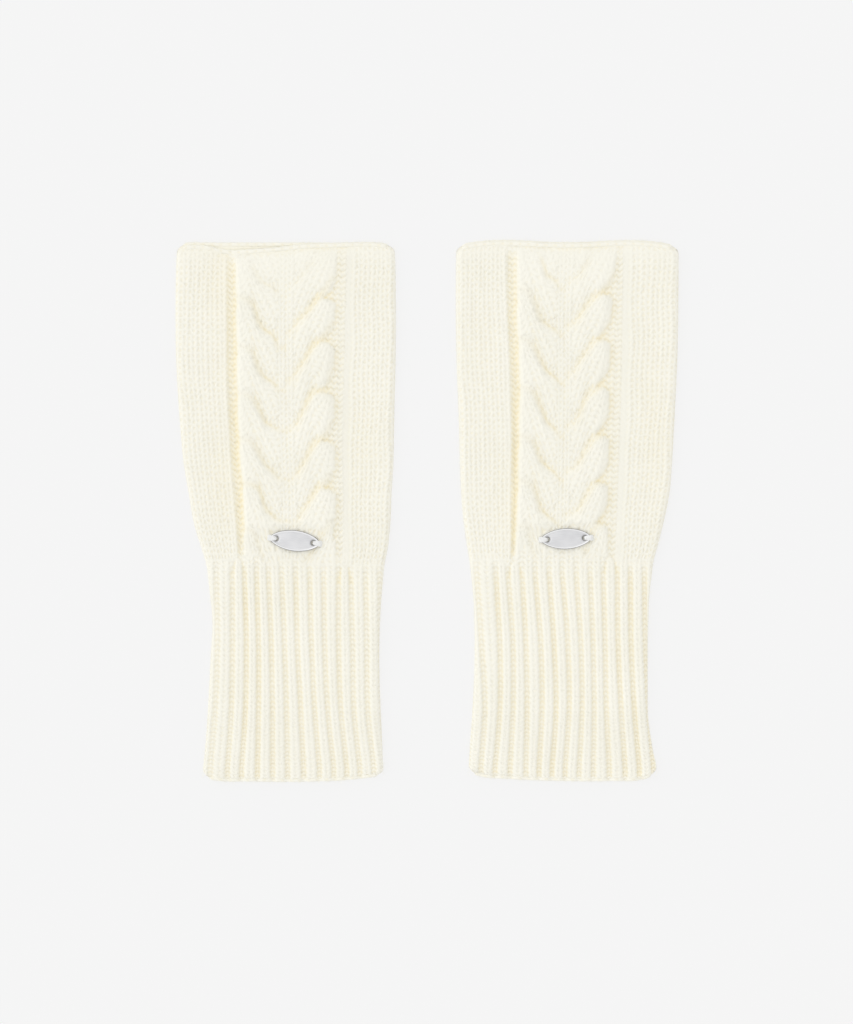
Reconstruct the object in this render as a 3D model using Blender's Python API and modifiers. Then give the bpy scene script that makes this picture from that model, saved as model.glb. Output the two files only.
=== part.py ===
"""A pair of knitted hand warmers, laid flat side by side.

Each warmer is a tube of thick wool knit with no fingers: a plain knit hand part with a horseshoe
cable between two purl channels, and a long ribbed cuff. A small pointed oval metal tag is sewn over
the foot of the cable. Front and back are walls that lie on each other. The back rests flat on z = 0.
Lengths below are in millimetres; the meshes are built in metres, X to the right, Y towards the
hand opening, Z up. Each warmer is drawn about its own middle line, with height 0 at its cuff edge.
"""

import math

import bmesh
import bpy
import numpy as np
from mathutils import Vector
from mathutils.geometry import delaunay_2d_cdt

MM = 0.001

# Layers, measured up from the surface that the warmers lie on.
BACK_TOP = 1.9          # the back wall is this thick
FRONT_UNDER = 2.2       # plain inner face of the front wall
KNIT_TOP = 4.2          # outer face of the plain knit panels
PURL_TOP = 3.3          # floor of the purl channels beside the cable
EDGE_ROLL = 0.35        # how far a panel's edge stands up beside a channel
RIB_TOP = 4.75          # crown of a cuff rib
RIB_FLOOR = 3.4         # floor between two ribs
TAG_UNDER = 5.75
TAG_THICK = 0.8
GAP = 0.3               # seam between the hand part and the cuff

# Heights along the warmer.
TOP = 240.0             # rim of the hand opening
SEAM = 97.4             # where the ribbing gives way to the hand part
CORNER = 3.0            # radius of the corners of each opening
# The back wall's rounded edge: height above the surface, distance in from the outline.
BACK_SECTION = ((0.0, 1.6), (0.5, 0.5), (1.2, 0.0), (BACK_TOP, 0.0))
LIP = 1.4               # how far in from an opening the front wall rounds over
SIDE_FOLD = 3.0         # how far in from the sides the front wall rounds over
OPENING_REACH = 14.0    # how far from an opening the courses follow its curve

# The horseshoe cable. Leaf rises are counted in repeats from the outer end of its upper crease.
REPEAT = 21.0           # eight rows
FIRST = 112.0           # outer end of the lowest crease
CABLE_HALF = 20.2
CABLE_SHOULDER = 2.4    # width over which the cable rounds down into a channel
CABLE_RELIEF = 0.85
LEAF = np.array([
    # rise, inner edge, outer edge, height
    (-2.2, 0.0, 9.5, -1.2),
    (-1.8, 0.0, 10.0, -0.6),
    (-1.6, 0.0, 11.0, 0.0),
    (-1.4, 0.0, 13.2, 0.45),
    (-1.2, 0.2, 16.8, 0.85),
    (-1.0, 0.9, 20.2, 1.25),
    (-0.8, 4.2, 20.6, 1.6),
    (-0.6, 8.6, 20.6, 1.8),
    (-0.4, 11.8, 20.6, 1.85),
    (-0.2, 13.7, 20.6, 1.6),
    (0.0, 14.8, 20.4, 0.5),
    (0.2, 15.2, 19.6, -1.5),
    (0.4, 15.2, 19.6, -1.5),
])
LEAF_CROWN = 1.3
LEAF_MEAN = 1.75        # level that the leaves flatten to at the rim and under the tag
SPINE_HALF, SPINE_TOP = 2.0, 1.7
CHANNEL_BANK = 1.1      # width of the slope from a channel up to the plain panel
FADE = 24.0             # length over which the leaves die away at either end

# Rows of points within one repeat, crowded at the crease, and columns across half the cable.
CREASE_ROWS = (-0.98, -0.85, -0.65, -0.45, -0.25, -0.1, -0.02)
CREASE_LEVEL = 0.42     # the rise at which a row that follows a crease crosses its nominal level
CABLE_COLUMNS = (1.4, 3.0, 4.8, 6.8, 8.8, 10.8, 12.6, 14.2, 15.6, 17.2, 18.6, 19.7, 20.2)

SIDES = ("left", "right")

# Each warmer's outline: height, x of its left side, x of its right side.
OUTLINE = {
    "left": np.array([
        (0.0, -36.9, 43.5), (6.9, -36.5, 43.2), (22.9, -35.2, 42.6), (38.9, -34.2, 41.9),
        (55.0, -33.4, 41.6), (71.0, -32.6, 41.9), (87.0, -34.1, 43.0), (97.7, -35.6, 44.1),
        (103.0, -37.2, 45.2), (113.7, -40.5, 46.4), (129.8, -43.4, 47.1), (140.4, -45.2, 47.8),
        (161.8, -47.2, 48.2), (193.9, -48.9, 48.9), (214.3, -49.0, 48.9), (236.6, -48.5, 48.5),
        (241.0, -48.3, 48.3),
    ]),
    "right": np.array([
        (0.0, -43.8, 40.0), (6.9, -43.6, 39.4), (17.5, -43.1, 37.6), (28.2, -42.3, 36.1),
        (42.0, -41.5, 35.9), (71.0, -41.2, 36.1), (81.7, -41.6, 36.5), (92.4, -42.7, 37.7),
        (97.7, -43.3, 38.4), (103.0, -44.2, 39.8), (113.7, -45.8, 42.5), (129.8, -47.2, 45.7),
        (140.4, -47.6, 46.6), (156.5, -48.0, 47.5), (193.9, -49.3, 49.2), (214.0, -49.5, 49.5),
        (241.0, -49.3, 49.6),
    ]),
}
# The purl channels: height, outer and inner side of the left one, inner and outer side of the right.
CHANNELS = {
    "left": np.array([
        (97.4, -20.8, -18.2, 22.0, 26.0), (123.5, -22.3, -18.4, 22.2, 26.3),
        (150.0, -24.4, -20.4, 21.7, 25.8), (187.0, -25.9, -21.4, 21.5, 26.9),
        (241.0, -25.7, -21.9, 22.6, 28.0),
    ]),
    "right": np.array([
        (97.4, -24.9, -23.0, 17.8, 21.8), (120.0, -24.5, -22.0, 17.7, 22.8),
        (150.0, -24.5, -21.3, 18.2, 23.9), (180.0, -25.0, -20.9, 18.5, 24.8),
        (205.0, -26.3, -22.0, 19.3, 25.3), (241.0, -26.8, -21.8, 22.0, 25.6),
    ]),
}
# Rims of the hand opening: x, height of the front wall, height of the back wall.
RIMS = {
    "left": np.array([
        (-49.0, 238.2, 238.8), (-44.0, 239.2, 239.9), (-35.0, 238.9, 240.0), (-30.0, 237.5, 240.0),
        (-24.0, 236.6, 240.0), (-14.0, 237.0, 240.0), (0.0, 238.2, 240.0), (8.0, 239.1, 240.0),
        (20.0, 239.5, 239.9), (43.0, 239.4, 239.8), (49.0, 238.4, 238.8),
    ]),
    "right": np.array([
        (-49.5, 237.6, 238.6), (-44.0, 238.7, 239.8), (0.0, 239.1, 240.1), (43.0, 238.8, 239.8),
        (49.6, 237.4, 238.4),
    ]),
}
# The cuff's edge: x, height.
HEMS = {
    "left": np.array([(-37.0, 2.0), (-34.3, 1.2), (-13.4, 0.1), (9.8, 0.0), (28.0, 0.8), (43.6, 2.6)]),
    "right": np.array([(-43.8, 4.0), (-39.0, 2.4), (-25.8, 1.2), (-3.1, 0.3), (20.0, 0.3), (34.0, 1.0),
                       (40.0, 3.2)]),
}
# The channels between the cuff's ribs: x of each at the heights in RIB_HEIGHTS.
RIBS = {
    "left": np.array([
        (-33.4, -31.2, -30.2, -30.7), (-25.8, -24.0, -23.6, -23.6), (-19.6, -17.8, -17.4, -18.3),
        (-12.5, -12.0, -12.0, -12.9), (-5.8, -5.8, -6.3, -7.6), (0.9, 0.4, -0.4, -1.8),
        (8.0, 6.7, 5.3, 4.5), (15.1, 12.9, 11.6, 10.7), (21.4, 18.7, 17.4, 16.9),
        (27.2, 24.5, 23.6, 23.6), (33.0, 30.3, 29.8, 29.0), (39.2, 36.5, 36.1, 35.6),
    ]),
    "right": np.array([
        (-38.3, -36.5, -37.9, -40.1), (-32.1, -29.8, -29.8, -31.6), (-25.4, -24.0, -24.0, -26.3),
        (-18.3, -17.8, -18.3, -20.0), (-12.5, -11.1, -11.6, -14.2), (-6.7, -4.9, -5.8, -8.0),
        (-0.9, 0.9, 0.4, -2.2), (5.3, 6.7, 6.2, 4.0), (11.6, 12.0, 11.6, 10.2),
        (18.7, 17.4, 16.9, 16.0), (25.8, 24.0, 22.7, 22.3), (32.1, 29.8, 28.5, 28.1),
    ]),
}
RIB_HEIGHTS = np.array([6.0, 33.0, 60.0, 93.0])
RIB_MARGIN = 3.4        # least distance from a channel to the side of the cuff
RIB_COLUMNS = ((-1.75, 0.78), (-0.85, 0.0), (0.85, 0.0), (1.75, 0.78))   # x from a channel, height

# Each tag: x, height, and turn in degrees. The dip beside the left warmer's rim: x, height, depth.
TAGS = {"left": (4.1, 107.2, -6.7), "right": (-0.6, 108.1, 2.4)}
TAG_LONG, TAG_WIDE = 22.6, 9.2
TAG_HOLE, TAG_HOLE_APART = 1.0, 16.5
DIPS = {"left": (-26.5, 234.6, 0.9), "right": (-27.0, 235.5, 0.35)}

# Where each warmer's middle line stands, and how far its cuff edge is from the middle of the pair.
PLACE = {"left": (-63.3, -120.0), "right": (61.8, -120.0)}

COLOURS = {
    "knit": ((0.90, 0.87, 0.76, 1.0), 0.9, 0.0),
    "tag": ((0.72, 0.72, 0.76, 1.0), 0.35, 1.0),
}


def smooth(t):
    t = np.clip(t, 0.0, 1.0)
    return t * t * (3.0 - 2.0 * t)


def curve(knots, values, t):
    """A smooth curve through a table's rows, level beyond its ends."""
    slopes = np.gradient(values, knots)
    t = np.clip(t, knots[0], knots[-1])
    i = np.clip(np.searchsorted(knots, t, side="right") - 1, 0, len(knots) - 2)
    w = knots[i + 1] - knots[i]
    u = (t - knots[i]) / w
    return ((2 * u**3 - 3 * u**2 + 1) * values[i] + (u**3 - 2 * u**2 + u) * w * slopes[i]
            + (3 * u**2 - 2 * u**3) * values[i + 1] + (u**3 - u**2) * w * slopes[i + 1])


def sides(side, height):
    table = OUTLINE[side]
    return curve(table[:, 0], table[:, 1], height), curve(table[:, 0], table[:, 2], height)


def channels(side, height):
    table = CHANNELS[side]
    return [curve(table[:, 0], table[:, c], height) for c in (1, 2, 3, 4)]


def cable_height(offset, height):
    """The cable over the plain knit, at an offset from its middle: the higher of two leaves."""
    level = (height - FIRST) / REPEAT
    level = level - np.ceil(level)
    best = np.full(np.shape(offset), -9.0)
    for below in (0, 1):
        rise = level - below
        inner, outer, base = (curve(LEAF[:, 0], LEAF[:, c], rise) for c in (1, 2, 3))
        across = 2 * (offset - inner) / (outer - inner) - 1
        crown = LEAF_CROWN * np.sqrt(np.clip(1 - np.abs(across) ** 2.5, 0, 1))
        best = np.maximum(best, np.where(np.abs(across) < 1, base + crown, -5.0))
    spine = SPINE_TOP - 3.0 * np.clip((offset - SPINE_HALF) / 2.4, 0, 1) ** 2
    return CABLE_RELIEF * np.maximum(best, spine)


def hand_front_height(side, x, height, rim):
    """Outer face of the hand part's front wall."""
    left, right = sides(side, height)
    outer_l, inner_l, inner_r, outer_r = channels(side, height)
    middle, half = (inner_l + inner_r) / 2, (inner_r - inner_l) / 2
    offset = np.abs(x - middle) * CABLE_HALF / half
    # The cable grows out of the ribbing, and its leaves flatten towards the rim and at its foot.
    growth = (0.3 + 0.7 * smooth((height - SEAM) / 16)) * (0.5 + 0.5 * smooth((rim - height) / 12))
    crispness = smooth((height - SEAM - 5) / 16) * smooth((rim - height - 3) / FADE)
    cable = KNIT_TOP + growth * (LEAF_MEAN + crispness * (cable_height(offset, height) - LEAF_MEAN))
    rounding = np.clip((offset - CABLE_HALF) / CABLE_SHOULDER + 1, 0, 1)
    shoulder = np.sqrt(np.clip(1 - rounding**2, 0, 1))
    floor = PURL_TOP + 0.5 * (1 - smooth((height - SEAM) / 9))
    cable = floor + (cable - floor) * shoulder
    beyond = np.maximum(outer_l - x, x - outer_r)
    rolled = KNIT_TOP + EDGE_ROLL * np.exp(-np.maximum(beyond, 0) / 3)
    panel = floor + (rolled - floor) * smooth(beyond / CHANNEL_BANK + 0.5)
    z = np.where(offset < CABLE_HALF, cable, np.where(beyond > -CHANNEL_BANK / 2, panel, floor))
    # Side folds, the rolled rim, the dip at the rim and the hollow that the tag presses.
    into = np.clip(np.minimum(x - left, right - x) / SIDE_FOLD, 0, 1)
    z = FRONT_UNDER + (z - FRONT_UNDER) * (0.32 + 0.68 * np.sqrt(1 - (1 - into) ** 2))
    lip = np.clip((rim - height) / LIP, 0, 1)
    z = FRONT_UNDER + (z - FRONT_UNDER) * (0.5 + 0.5 * np.sqrt(1 - (1 - lip) ** 2))
    dip_x, dip_height, depth = DIPS[side]
    z = z - depth * np.exp(-(((x - dip_x) / 6.0) ** 2 + ((height - dip_height) / 4.5) ** 2))
    tag_x, tag_height, _ = TAGS[side]
    away = np.hypot((x - tag_x) / (TAG_LONG / 2), (height - tag_height) / (TAG_WIDE / 2))
    pressed = np.minimum(z, TAG_UNDER - GAP)
    return pressed + (z - pressed) * smooth((away - 1.1) / 0.8)


def rib_x(side, row, height):
    return curve(RIB_HEIGHTS, RIBS[side][row], height)


def cuff_front_height(side, x, height, relief, hem):
    """Outer face of the cuff's front wall, where relief runs from 0 in a channel to 1 on a crown."""
    left, right = sides(side, height)
    depth = 0.45 + 0.55 * smooth((SEAM - height) / 7)
    z = RIB_TOP - (RIB_TOP - RIB_FLOOR) * depth * (1 - relief) - 0.35 * (1 - smooth((SEAM - height) / 5))
    into = np.clip(np.minimum(x - left, right - x) / SIDE_FOLD, 0, 1)
    z = FRONT_UNDER + (z - FRONT_UNDER) * (0.3 + 0.7 * np.sqrt(1 - (1 - into) ** 2))
    lip = np.clip((height - hem) / LIP, 0, 1)
    return FRONT_UNDER + (z - FRONT_UNDER) * (0.5 + 0.5 * np.sqrt(1 - (1 - lip) ** 2))


def corner(distance):
    """How far an opening's rounded corner draws the side in, at a distance from the opening."""
    d = np.clip(distance, 0, CORNER)
    return CORNER - np.sqrt(CORNER**2 - (CORNER - d) ** 2)


def relief_wall(name, rows):
    """A closed wall from rows of outer points, low to high, over one flat inner face."""
    bm = bmesh.new()
    outer = [[bm.verts.new(Vector(point) * MM) for point in row] for row in rows]
    for low, high in zip(outer, outer[1:]):
        for i in range(len(low) - 1):
            bm.faces.new((low[i], low[i + 1], high[i + 1], high[i]))
    right_side = [row[-1] for row in outer[1:-1]]
    left_side = [row[0] for row in outer[-2:0:-1]]
    rim = outer[0] + right_side + outer[-1][::-1] + left_side
    inner = [bm.verts.new((v.co.x, v.co.y, FRONT_UNDER * MM)) for v in rim]
    for i in range(len(rim)):
        j = (i + 1) % len(rim)
        bm.faces.new((rim[i], inner[i], inner[j], rim[j]))
    fill_flat(bm, inner)
    return finished(name, bm)


def stacked_wall(name, loops):
    """A closed wall from outlines of the same number of points, one above another."""
    bm = bmesh.new()
    rings = [[bm.verts.new(Vector(point) * MM) for point in loop] for loop in loops]
    for low, high in zip(rings, rings[1:]):
        for i in range(len(low)):
            j = (i + 1) % len(low)
            bm.faces.new((low[i], low[j], high[j], high[i]))
    fill_flat(bm, rings[0])
    fill_flat(bm, rings[-1])
    return finished(name, bm)


def fill_flat(bm, ring):
    """Closes a flat outline with triangles that stay inside it."""
    outline = [(v.co / MM).to_2d() for v in ring]
    filled = delaunay_2d_cdt(outline, [], [range(len(ring))], 1, 1e-4)
    faces, origins = filled[2], filled[3]
    for face in faces:
        bm.faces.new([ring[origins[i][0]] for i in face])


def finished(name, bm):
    bmesh.ops.recalc_face_normals(bm, faces=bm.faces)
    mesh = bpy.data.meshes.new(name)
    bm.to_mesh(mesh)
    bm.free()
    return add(name, mesh, "knit")


def add(name, data, colour):
    obj = bpy.data.objects.new(name, data)
    collection.objects.link(obj)
    material = bpy.data.materials.new(name)
    material.use_nodes = True
    shader = material.node_tree.nodes["Principled BSDF"]
    base, roughness, metallic = COLOURS[colour]
    shader.inputs["Base Color"].default_value = base
    shader.inputs["Roughness"].default_value = roughness
    shader.inputs["Metallic"].default_value = metallic
    material.diffuse_color = base
    data.materials.append(material)
    return obj


def hand_front(side):
    rim_table = RIMS[side]
    # Columns: how each is placed across the wall, and the rise of the crease there.
    crease = LEAF[5:11]
    columns = [("side", f, 0.0) for f in (0.0, 0.7, 2.4)]
    columns += [("panel", f, 0.0) for f in (0.35, 0.68, 0.9)]
    columns += [("edge", f, 0.0) for f in (-1.1, -0.2, 0.7)]
    for offset in CABLE_COLUMNS[::-1]:
        rise = np.interp(max(offset, 3.2), crease[:, 1], crease[:, 0])
        columns.append(("cable", offset, rise))
    middle_column = ("cable", 0.0, columns[-1][2])
    placed = [(-1, c) for c in columns] + [(-1, middle_column)] + [(1, c) for c in columns[::-1]]

    levels = [FIRST + REPEAT * (k + row - CREASE_LEVEL) for k in range(0, 7) for row in CREASE_ROWS]
    base = SEAM + GAP / 2
    levels = [base, base + 1.2] + [v for v in levels if base + 2.6 < v < TOP - 4.2] + [
        TOP - 3.0, TOP - 1.4, TOP - 0.5, TOP]
    rows = []
    for level in levels:
        bend = smooth((level - base) / FADE) * smooth((TOP - level) / FADE)
        xs, hs = [], []
        for sign, (kind, where, rise) in placed:
            height = level + REPEAT * (rise + CREASE_LEVEL) * bend
            for _ in range(2):
                x = place_column(side, sign, kind, where, height, TOP - level)
                rim = curve(rim_table[:, 0], rim_table[:, 1], x)
                height = level + REPEAT * (rise + CREASE_LEVEL) * bend
                height += (rim - TOP) * smooth(1 - (TOP - level) / OPENING_REACH)
            xs.append(x)
            hs.append(height)
        xs, hs = np.array(xs), np.array(hs)
        rim = curve(rim_table[:, 0], rim_table[:, 1], xs)
        zs = hand_front_height(side, xs, hs, rim)
        zs = np.maximum(zs, FRONT_UNDER + 0.55)
        rows.append(list(zip(xs, hs, zs)))
    return relief_wall(f"{side}_hand_front", rows)


def place_column(side, sign, kind, where, height, from_rim):
    left, right = sides(side, height)
    outer_l, inner_l, inner_r, outer_r = channels(side, height)
    draw = corner(from_rim)
    edge = (left + draw) if sign < 0 else (right - draw)
    outer, inner = (outer_l, inner_l) if sign < 0 else (outer_r, inner_r)
    if kind == "side":
        return edge - sign * where
    if kind == "panel":
        return edge - sign * 2.4 + (outer + sign * 1.1 - edge + sign * 2.4) * where
    if kind == "edge":
        return outer - sign * where
    middle, half = (inner_l + inner_r) / 2, (inner_r - inner_l) / 2
    return middle + sign * where * half / CABLE_HALF


def cuff_front(side):
    hem_table = HEMS[side]
    heights = [0.0, 0.5, 1.4, 3.0] + list(np.linspace(9, SEAM - 12, 6))
    heights += [SEAM - 6, SEAM - 2.5, SEAM - GAP / 2]
    rows = []
    for level in heights:
        left, right = sides(side, level)
        left, right = left + corner(level), right - corner(level)
        xs, relief = [left], [1.0]
        for row in range(len(RIBS[side])):
            at = np.clip(rib_x(side, row, level), left + RIB_MARGIN, right - RIB_MARGIN)
            shoulder = at + RIB_COLUMNS[0][0]
            crowns = (0.35, 0.7) if row == 0 else (0.5,)
            xs += [xs[-1] + (shoulder - xs[-1]) * share for share in crowns]
            relief += [1.0] * len(crowns)
            xs += [at + dx for dx, _ in RIB_COLUMNS]
            relief += [up for _, up in RIB_COLUMNS]
        xs += [xs[-1] + (right - xs[-1]) * share for share in (0.3, 0.65, 1.0)]
        relief += [1.0, 1.0, 1.0]
        xs, relief = np.array(xs), np.array(relief)
        hem = curve(hem_table[:, 0], hem_table[:, 1], xs)
        hs = level + hem * (1 - smooth(level / OPENING_REACH))
        zs = cuff_front_height(side, xs, hs, relief, hem)
        rows.append(list(zip(xs, hs, zs)))
    return relief_wall(f"{side}_cuff_front", rows)


def back(side, name, levels, edge_table, column):
    """A plain wall with a flat underside, rounded at its side folds and at its opening, the last level."""
    seam, opening = levels[0], levels[-1]
    toward = 1 if opening > seam else -1
    loops = []
    for z, inset in BACK_SECTION:
        left_points, right_points = [], []
        for level in levels:
            left, right = sides(side, level)
            draw = corner(abs(level - opening)) + inset
            edge = curve(edge_table[:, 0], edge_table[:, column], np.array([left + draw, right - draw]))
            pull = 1 - smooth(abs(level - opening) / OPENING_REACH)
            heights = level + (edge - opening) * pull - toward * inset * min(1, abs(level - seam) / 4)
            left_points.append((left + draw, heights[0], z))
            right_points.append((right - draw, heights[1], z))
        first, last = (left_points, right_points) if toward > 0 else (right_points, left_points)
        xs = np.linspace(first[-1][0], last[-1][0], 12)[1:-1]
        across = [(x, curve(edge_table[:, 0], edge_table[:, column], x) - toward * inset, z) for x in xs]
        loops.append(first + across + last[::-1])
    return stacked_wall(name, loops)


def hand_back(side):
    levels = [SEAM + GAP / 2] + list(np.linspace(108, TOP - 15, 9))
    levels += [TOP - 8, TOP - 3, TOP - 1.4, TOP - 0.5, TOP]
    return back(side, f"{side}_hand_back", levels, RIMS[side], 2)


def cuff_back(side):
    levels = [SEAM - GAP / 2] + list(np.linspace(SEAM - 10, 9, 7)) + [3.0, 1.4, 0.5, 0.0]
    return back(side, f"{side}_cuff_back", levels, HEMS[side], 1)


def tag(side):
    """A thin oval with drawn-in tips and a hole near each tip."""
    half_long, half_wide = TAG_LONG / 2, TAG_WIDE / 2
    outline = []
    for sign in (1, -1):
        for i in range(14):
            along = math.cos(math.pi * i / 14)
            outline.append((sign * half_long * along, sign * half_wide * (1 - abs(along) ** 1.9) ** 0.62))
    loops = [outline]
    for sign in (-1, 1):
        loops.append([(sign * TAG_HOLE_APART / 2 + TAG_HOLE * math.cos(a), TAG_HOLE * math.sin(a))
                      for a in np.linspace(0, 2 * math.pi, 16, endpoint=False)])
    data = bpy.data.curves.new(f"{side}_tag", "CURVE")
    data.dimensions = "2D"
    data.fill_mode = "BOTH"
    data.extrude = TAG_THICK / 2 * MM
    for points in loops:
        spline = data.splines.new("POLY")
        spline.points.add(len(points) - 1)
        for point, (x, y) in zip(spline.points, points):
            point.co = (x * MM, y * MM, 0.0, 1.0)
        spline.use_cyclic_u = True
    obj = add(f"{side}_tag", data, "tag")
    x, height, turn = TAGS[side]
    obj.location = Vector((x, height, TAG_UNDER + TAG_THICK / 2)) * MM
    obj.rotation_euler = (0.0, 0.0, math.radians(turn))
    weld = obj.modifiers.new("Weld", "WELD")
    weld.merge_threshold = 0.00001
    bevel = obj.modifiers.new("Bevel", "BEVEL")
    bevel.width = 0.18 * MM
    bevel.segments = 1
    bevel.limit_method = "ANGLE"
    bevel.angle_limit = math.radians(50)
    return obj


for old in list(bpy.data.objects):
    bpy.data.objects.remove(old, do_unlink=True)
collection = bpy.data.collections.new("hand_warmers")
bpy.context.scene.collection.children.link(collection)

pieces = []
for side in SIDES:
    made = [hand_front(side), hand_back(side), cuff_front(side), cuff_back(side), tag(side)]
    for piece in made:
        piece.location = piece.location + Vector((*PLACE[side], 0.0)) * MM
    pieces += made

# The pair stands with the middle of its footprint on the origin.
bpy.context.view_layer.update()
corners = [piece.matrix_world @ Vector(c) for piece in pieces for c in piece.bound_box]
middle = Vector((
    (min(c.x for c in corners) + max(c.x for c in corners)) / 2,
    (min(c.y for c in corners) + max(c.y for c in corners)) / 2,
    0.0,
))
for piece in pieces:
    piece.location = piece.location - middle
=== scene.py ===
"""A pair of cream wool hand warmers with a horseshoe cable and long ribbed cuffs, laid flat.

The warmers are put together in the order that they lie in: backs on the table, fronts on the
backs, then the metal tags and their thread, and last the loose fibres of the wool. Lengths are in
millimetres in a warmer's own frame, with x from its middle line and height from its cuff edge, as
in the CAD.
"""
import math

import bmesh
import bpy
import numpy as np
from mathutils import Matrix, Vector
from mathutils.geometry import delaunay_2d_cdt


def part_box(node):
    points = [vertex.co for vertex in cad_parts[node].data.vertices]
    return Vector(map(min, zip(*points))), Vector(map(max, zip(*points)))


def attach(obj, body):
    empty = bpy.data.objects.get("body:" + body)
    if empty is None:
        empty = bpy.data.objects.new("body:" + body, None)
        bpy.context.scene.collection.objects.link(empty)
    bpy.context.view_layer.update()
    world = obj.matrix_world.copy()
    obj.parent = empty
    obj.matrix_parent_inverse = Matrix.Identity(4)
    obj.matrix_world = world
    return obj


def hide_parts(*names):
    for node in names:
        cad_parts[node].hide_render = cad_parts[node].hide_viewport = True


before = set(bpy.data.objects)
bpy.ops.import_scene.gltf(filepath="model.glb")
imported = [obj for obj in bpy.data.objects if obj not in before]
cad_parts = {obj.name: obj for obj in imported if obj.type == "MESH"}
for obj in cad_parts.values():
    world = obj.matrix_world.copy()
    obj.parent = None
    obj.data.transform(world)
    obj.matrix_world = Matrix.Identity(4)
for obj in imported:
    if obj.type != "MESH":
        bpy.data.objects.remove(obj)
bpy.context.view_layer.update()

# --------------------------------------------------------------------------------------------------
# The back of each hand part. Plain knit in thick cream wool, as wide as the front and folded up to
# meet it along both sides. It lies on the table, so the crowns of its stitches are pressed level.

MM = 0.001
PAIR = ("left", "right")

TAG_AT = {"left": (4.1, 107.2, -6.7), "right": (-0.6, 108.1, 2.4)}   # x, height, turn in degrees
SEAM = 97.4              # where the ribbing gives way to the hand part
TOP = 240.0              # rim of the hand opening
CORNER = 3.0             # radius of the corners of each opening
OPENING_REACH = 14.0     # how far from an opening the courses follow its curve
LIP = 1.4                # how far in from an opening a wall rounds over
RIM_IN = 0.9             # how far in from a rim a wall ends, inside the chain that edges it
FOLD_ACROSS = 3.0        # how far in from a side the cloth bends down to its fold
FOLD_ARC = 4.0           # length of the cloth in that bend
FOLD_LEVEL = 2.02        # height of the fold over the table
BACK_TOP = 1.9           # inner face of the back walls

# Each warmer's outline: height, x of its left side, x of its right side.
OUTLINE = {
    "left": np.array([
        (0.0, -36.9, 43.5), (6.9, -36.5, 43.2), (22.9, -35.2, 42.6), (38.9, -34.2, 41.9),
        (55.0, -33.4, 41.6), (71.0, -32.6, 41.9), (87.0, -34.1, 43.0), (97.7, -35.6, 44.1),
        (103.0, -37.2, 45.2), (113.7, -40.5, 46.4), (129.8, -43.4, 47.1), (140.4, -45.2, 47.8),
        (161.8, -47.2, 48.2), (193.9, -48.9, 48.9), (214.3, -49.0, 48.9), (236.6, -48.5, 48.5),
        (241.0, -48.3, 48.3),
    ]),
    "right": np.array([
        (0.0, -43.8, 40.0), (6.9, -43.6, 39.4), (17.5, -43.1, 37.6), (28.2, -42.3, 36.1),
        (42.0, -41.5, 35.9), (71.0, -41.2, 36.1), (81.7, -41.6, 36.5), (92.4, -42.7, 37.7),
        (97.7, -43.3, 38.4), (103.0, -44.2, 39.8), (113.7, -45.8, 42.5), (129.8, -47.2, 45.7),
        (140.4, -47.6, 46.6), (156.5, -48.0, 47.5), (193.9, -49.3, 49.2), (214.0, -49.5, 49.5),
        (241.0, -49.3, 49.6),
    ]),
}
# Rims of the hand opening: x, height of the front wall, height of the back wall.
RIMS = {
    "left": np.array([
        (-49.0, 237.8, 238.8), (-44.0, 238.6, 239.9), (-35.0, 238.5, 240.0), (-30.0, 237.4, 240.0),
        (-24.0, 236.6, 240.0), (-14.0, 237.0, 240.0), (0.0, 238.2, 240.0), (8.0, 239.1, 240.0),
        (20.0, 239.5, 239.9), (43.0, 239.4, 239.8), (49.0, 238.4, 238.8),
    ]),
    "right": np.array([
        (-49.5, 237.9, 238.6), (-44.0, 239.1, 239.8), (0.0, 239.4, 240.1), (43.0, 239.1, 239.8),
        (49.6, 237.7, 238.4),
    ]),
}
COURSE = 21.0 / 8        # height of one course of the hand part
FIRST_COURSE = 112.0     # height of a course line, where the lowest cable crossing ends
BACK_WALES = 26          # stitches across the back
BACK_STEP = 0.60         # spacing of the points on the back walls
WALL_BREADTH = 100.0     # about how wide a wall is, for the number of points across it
STITCH_DEPTH = 0.48      # from the crown of a plain stitch to the bottom of the V

# A stitch in shares of a wale across and of a course up. A plain one has two legs: where each
# stands at its foot and how far it leans out, its half width and its swell, its middle and its half
# length.
LEG_FOOT, LEG_LEAN = 0.135, 0.215
LEG_HALF, LEG_SWELL = 0.168, 0.02
LEG_MIDDLE, LEG_REACH = 0.53, 0.70
WALE_SHIFT = 0.07        # how far the courses of one wale may stand over those beside it
PURL_WAVE, PURL_HALF = 0.2, 0.42      # how far a purl bar waves up and down, and half its thickness


def smooth(t):
    t = np.clip(t, 0.0, 1.0)
    return t * t * (3.0 - 2.0 * t)


def mix(a, b, share):
    return a + (b - a) * share


def curve(knots, values, t):
    """A smooth curve through a table's rows, level beyond its ends."""
    slopes = np.gradient(values, knots)
    t = np.clip(t, knots[0], knots[-1])
    i = np.clip(np.searchsorted(knots, t, side="right") - 1, 0, len(knots) - 2)
    w = knots[i + 1] - knots[i]
    u = (t - knots[i]) / w
    return ((2 * u**3 - 3 * u**2 + 1) * values[i] + (u**3 - 2 * u**2 + u) * w * slopes[i]
            + (3 * u**2 - 2 * u**3) * values[i + 1] + (u**3 - u**2) * w * slopes[i + 1])


def column(table, c, t):
    return curve(table[:, 0], table[:, c], t)


def middle_of(side):
    """Where a warmer's middle line and cuff edge stand in the frame, worked out from its tag."""
    low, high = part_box(f"{side}_tag")
    x, height, _ = TAG_AT[side]
    return (low.x + high.x) / 2 / MM - x, (low.y + high.y) / 2 / MM - height


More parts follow.
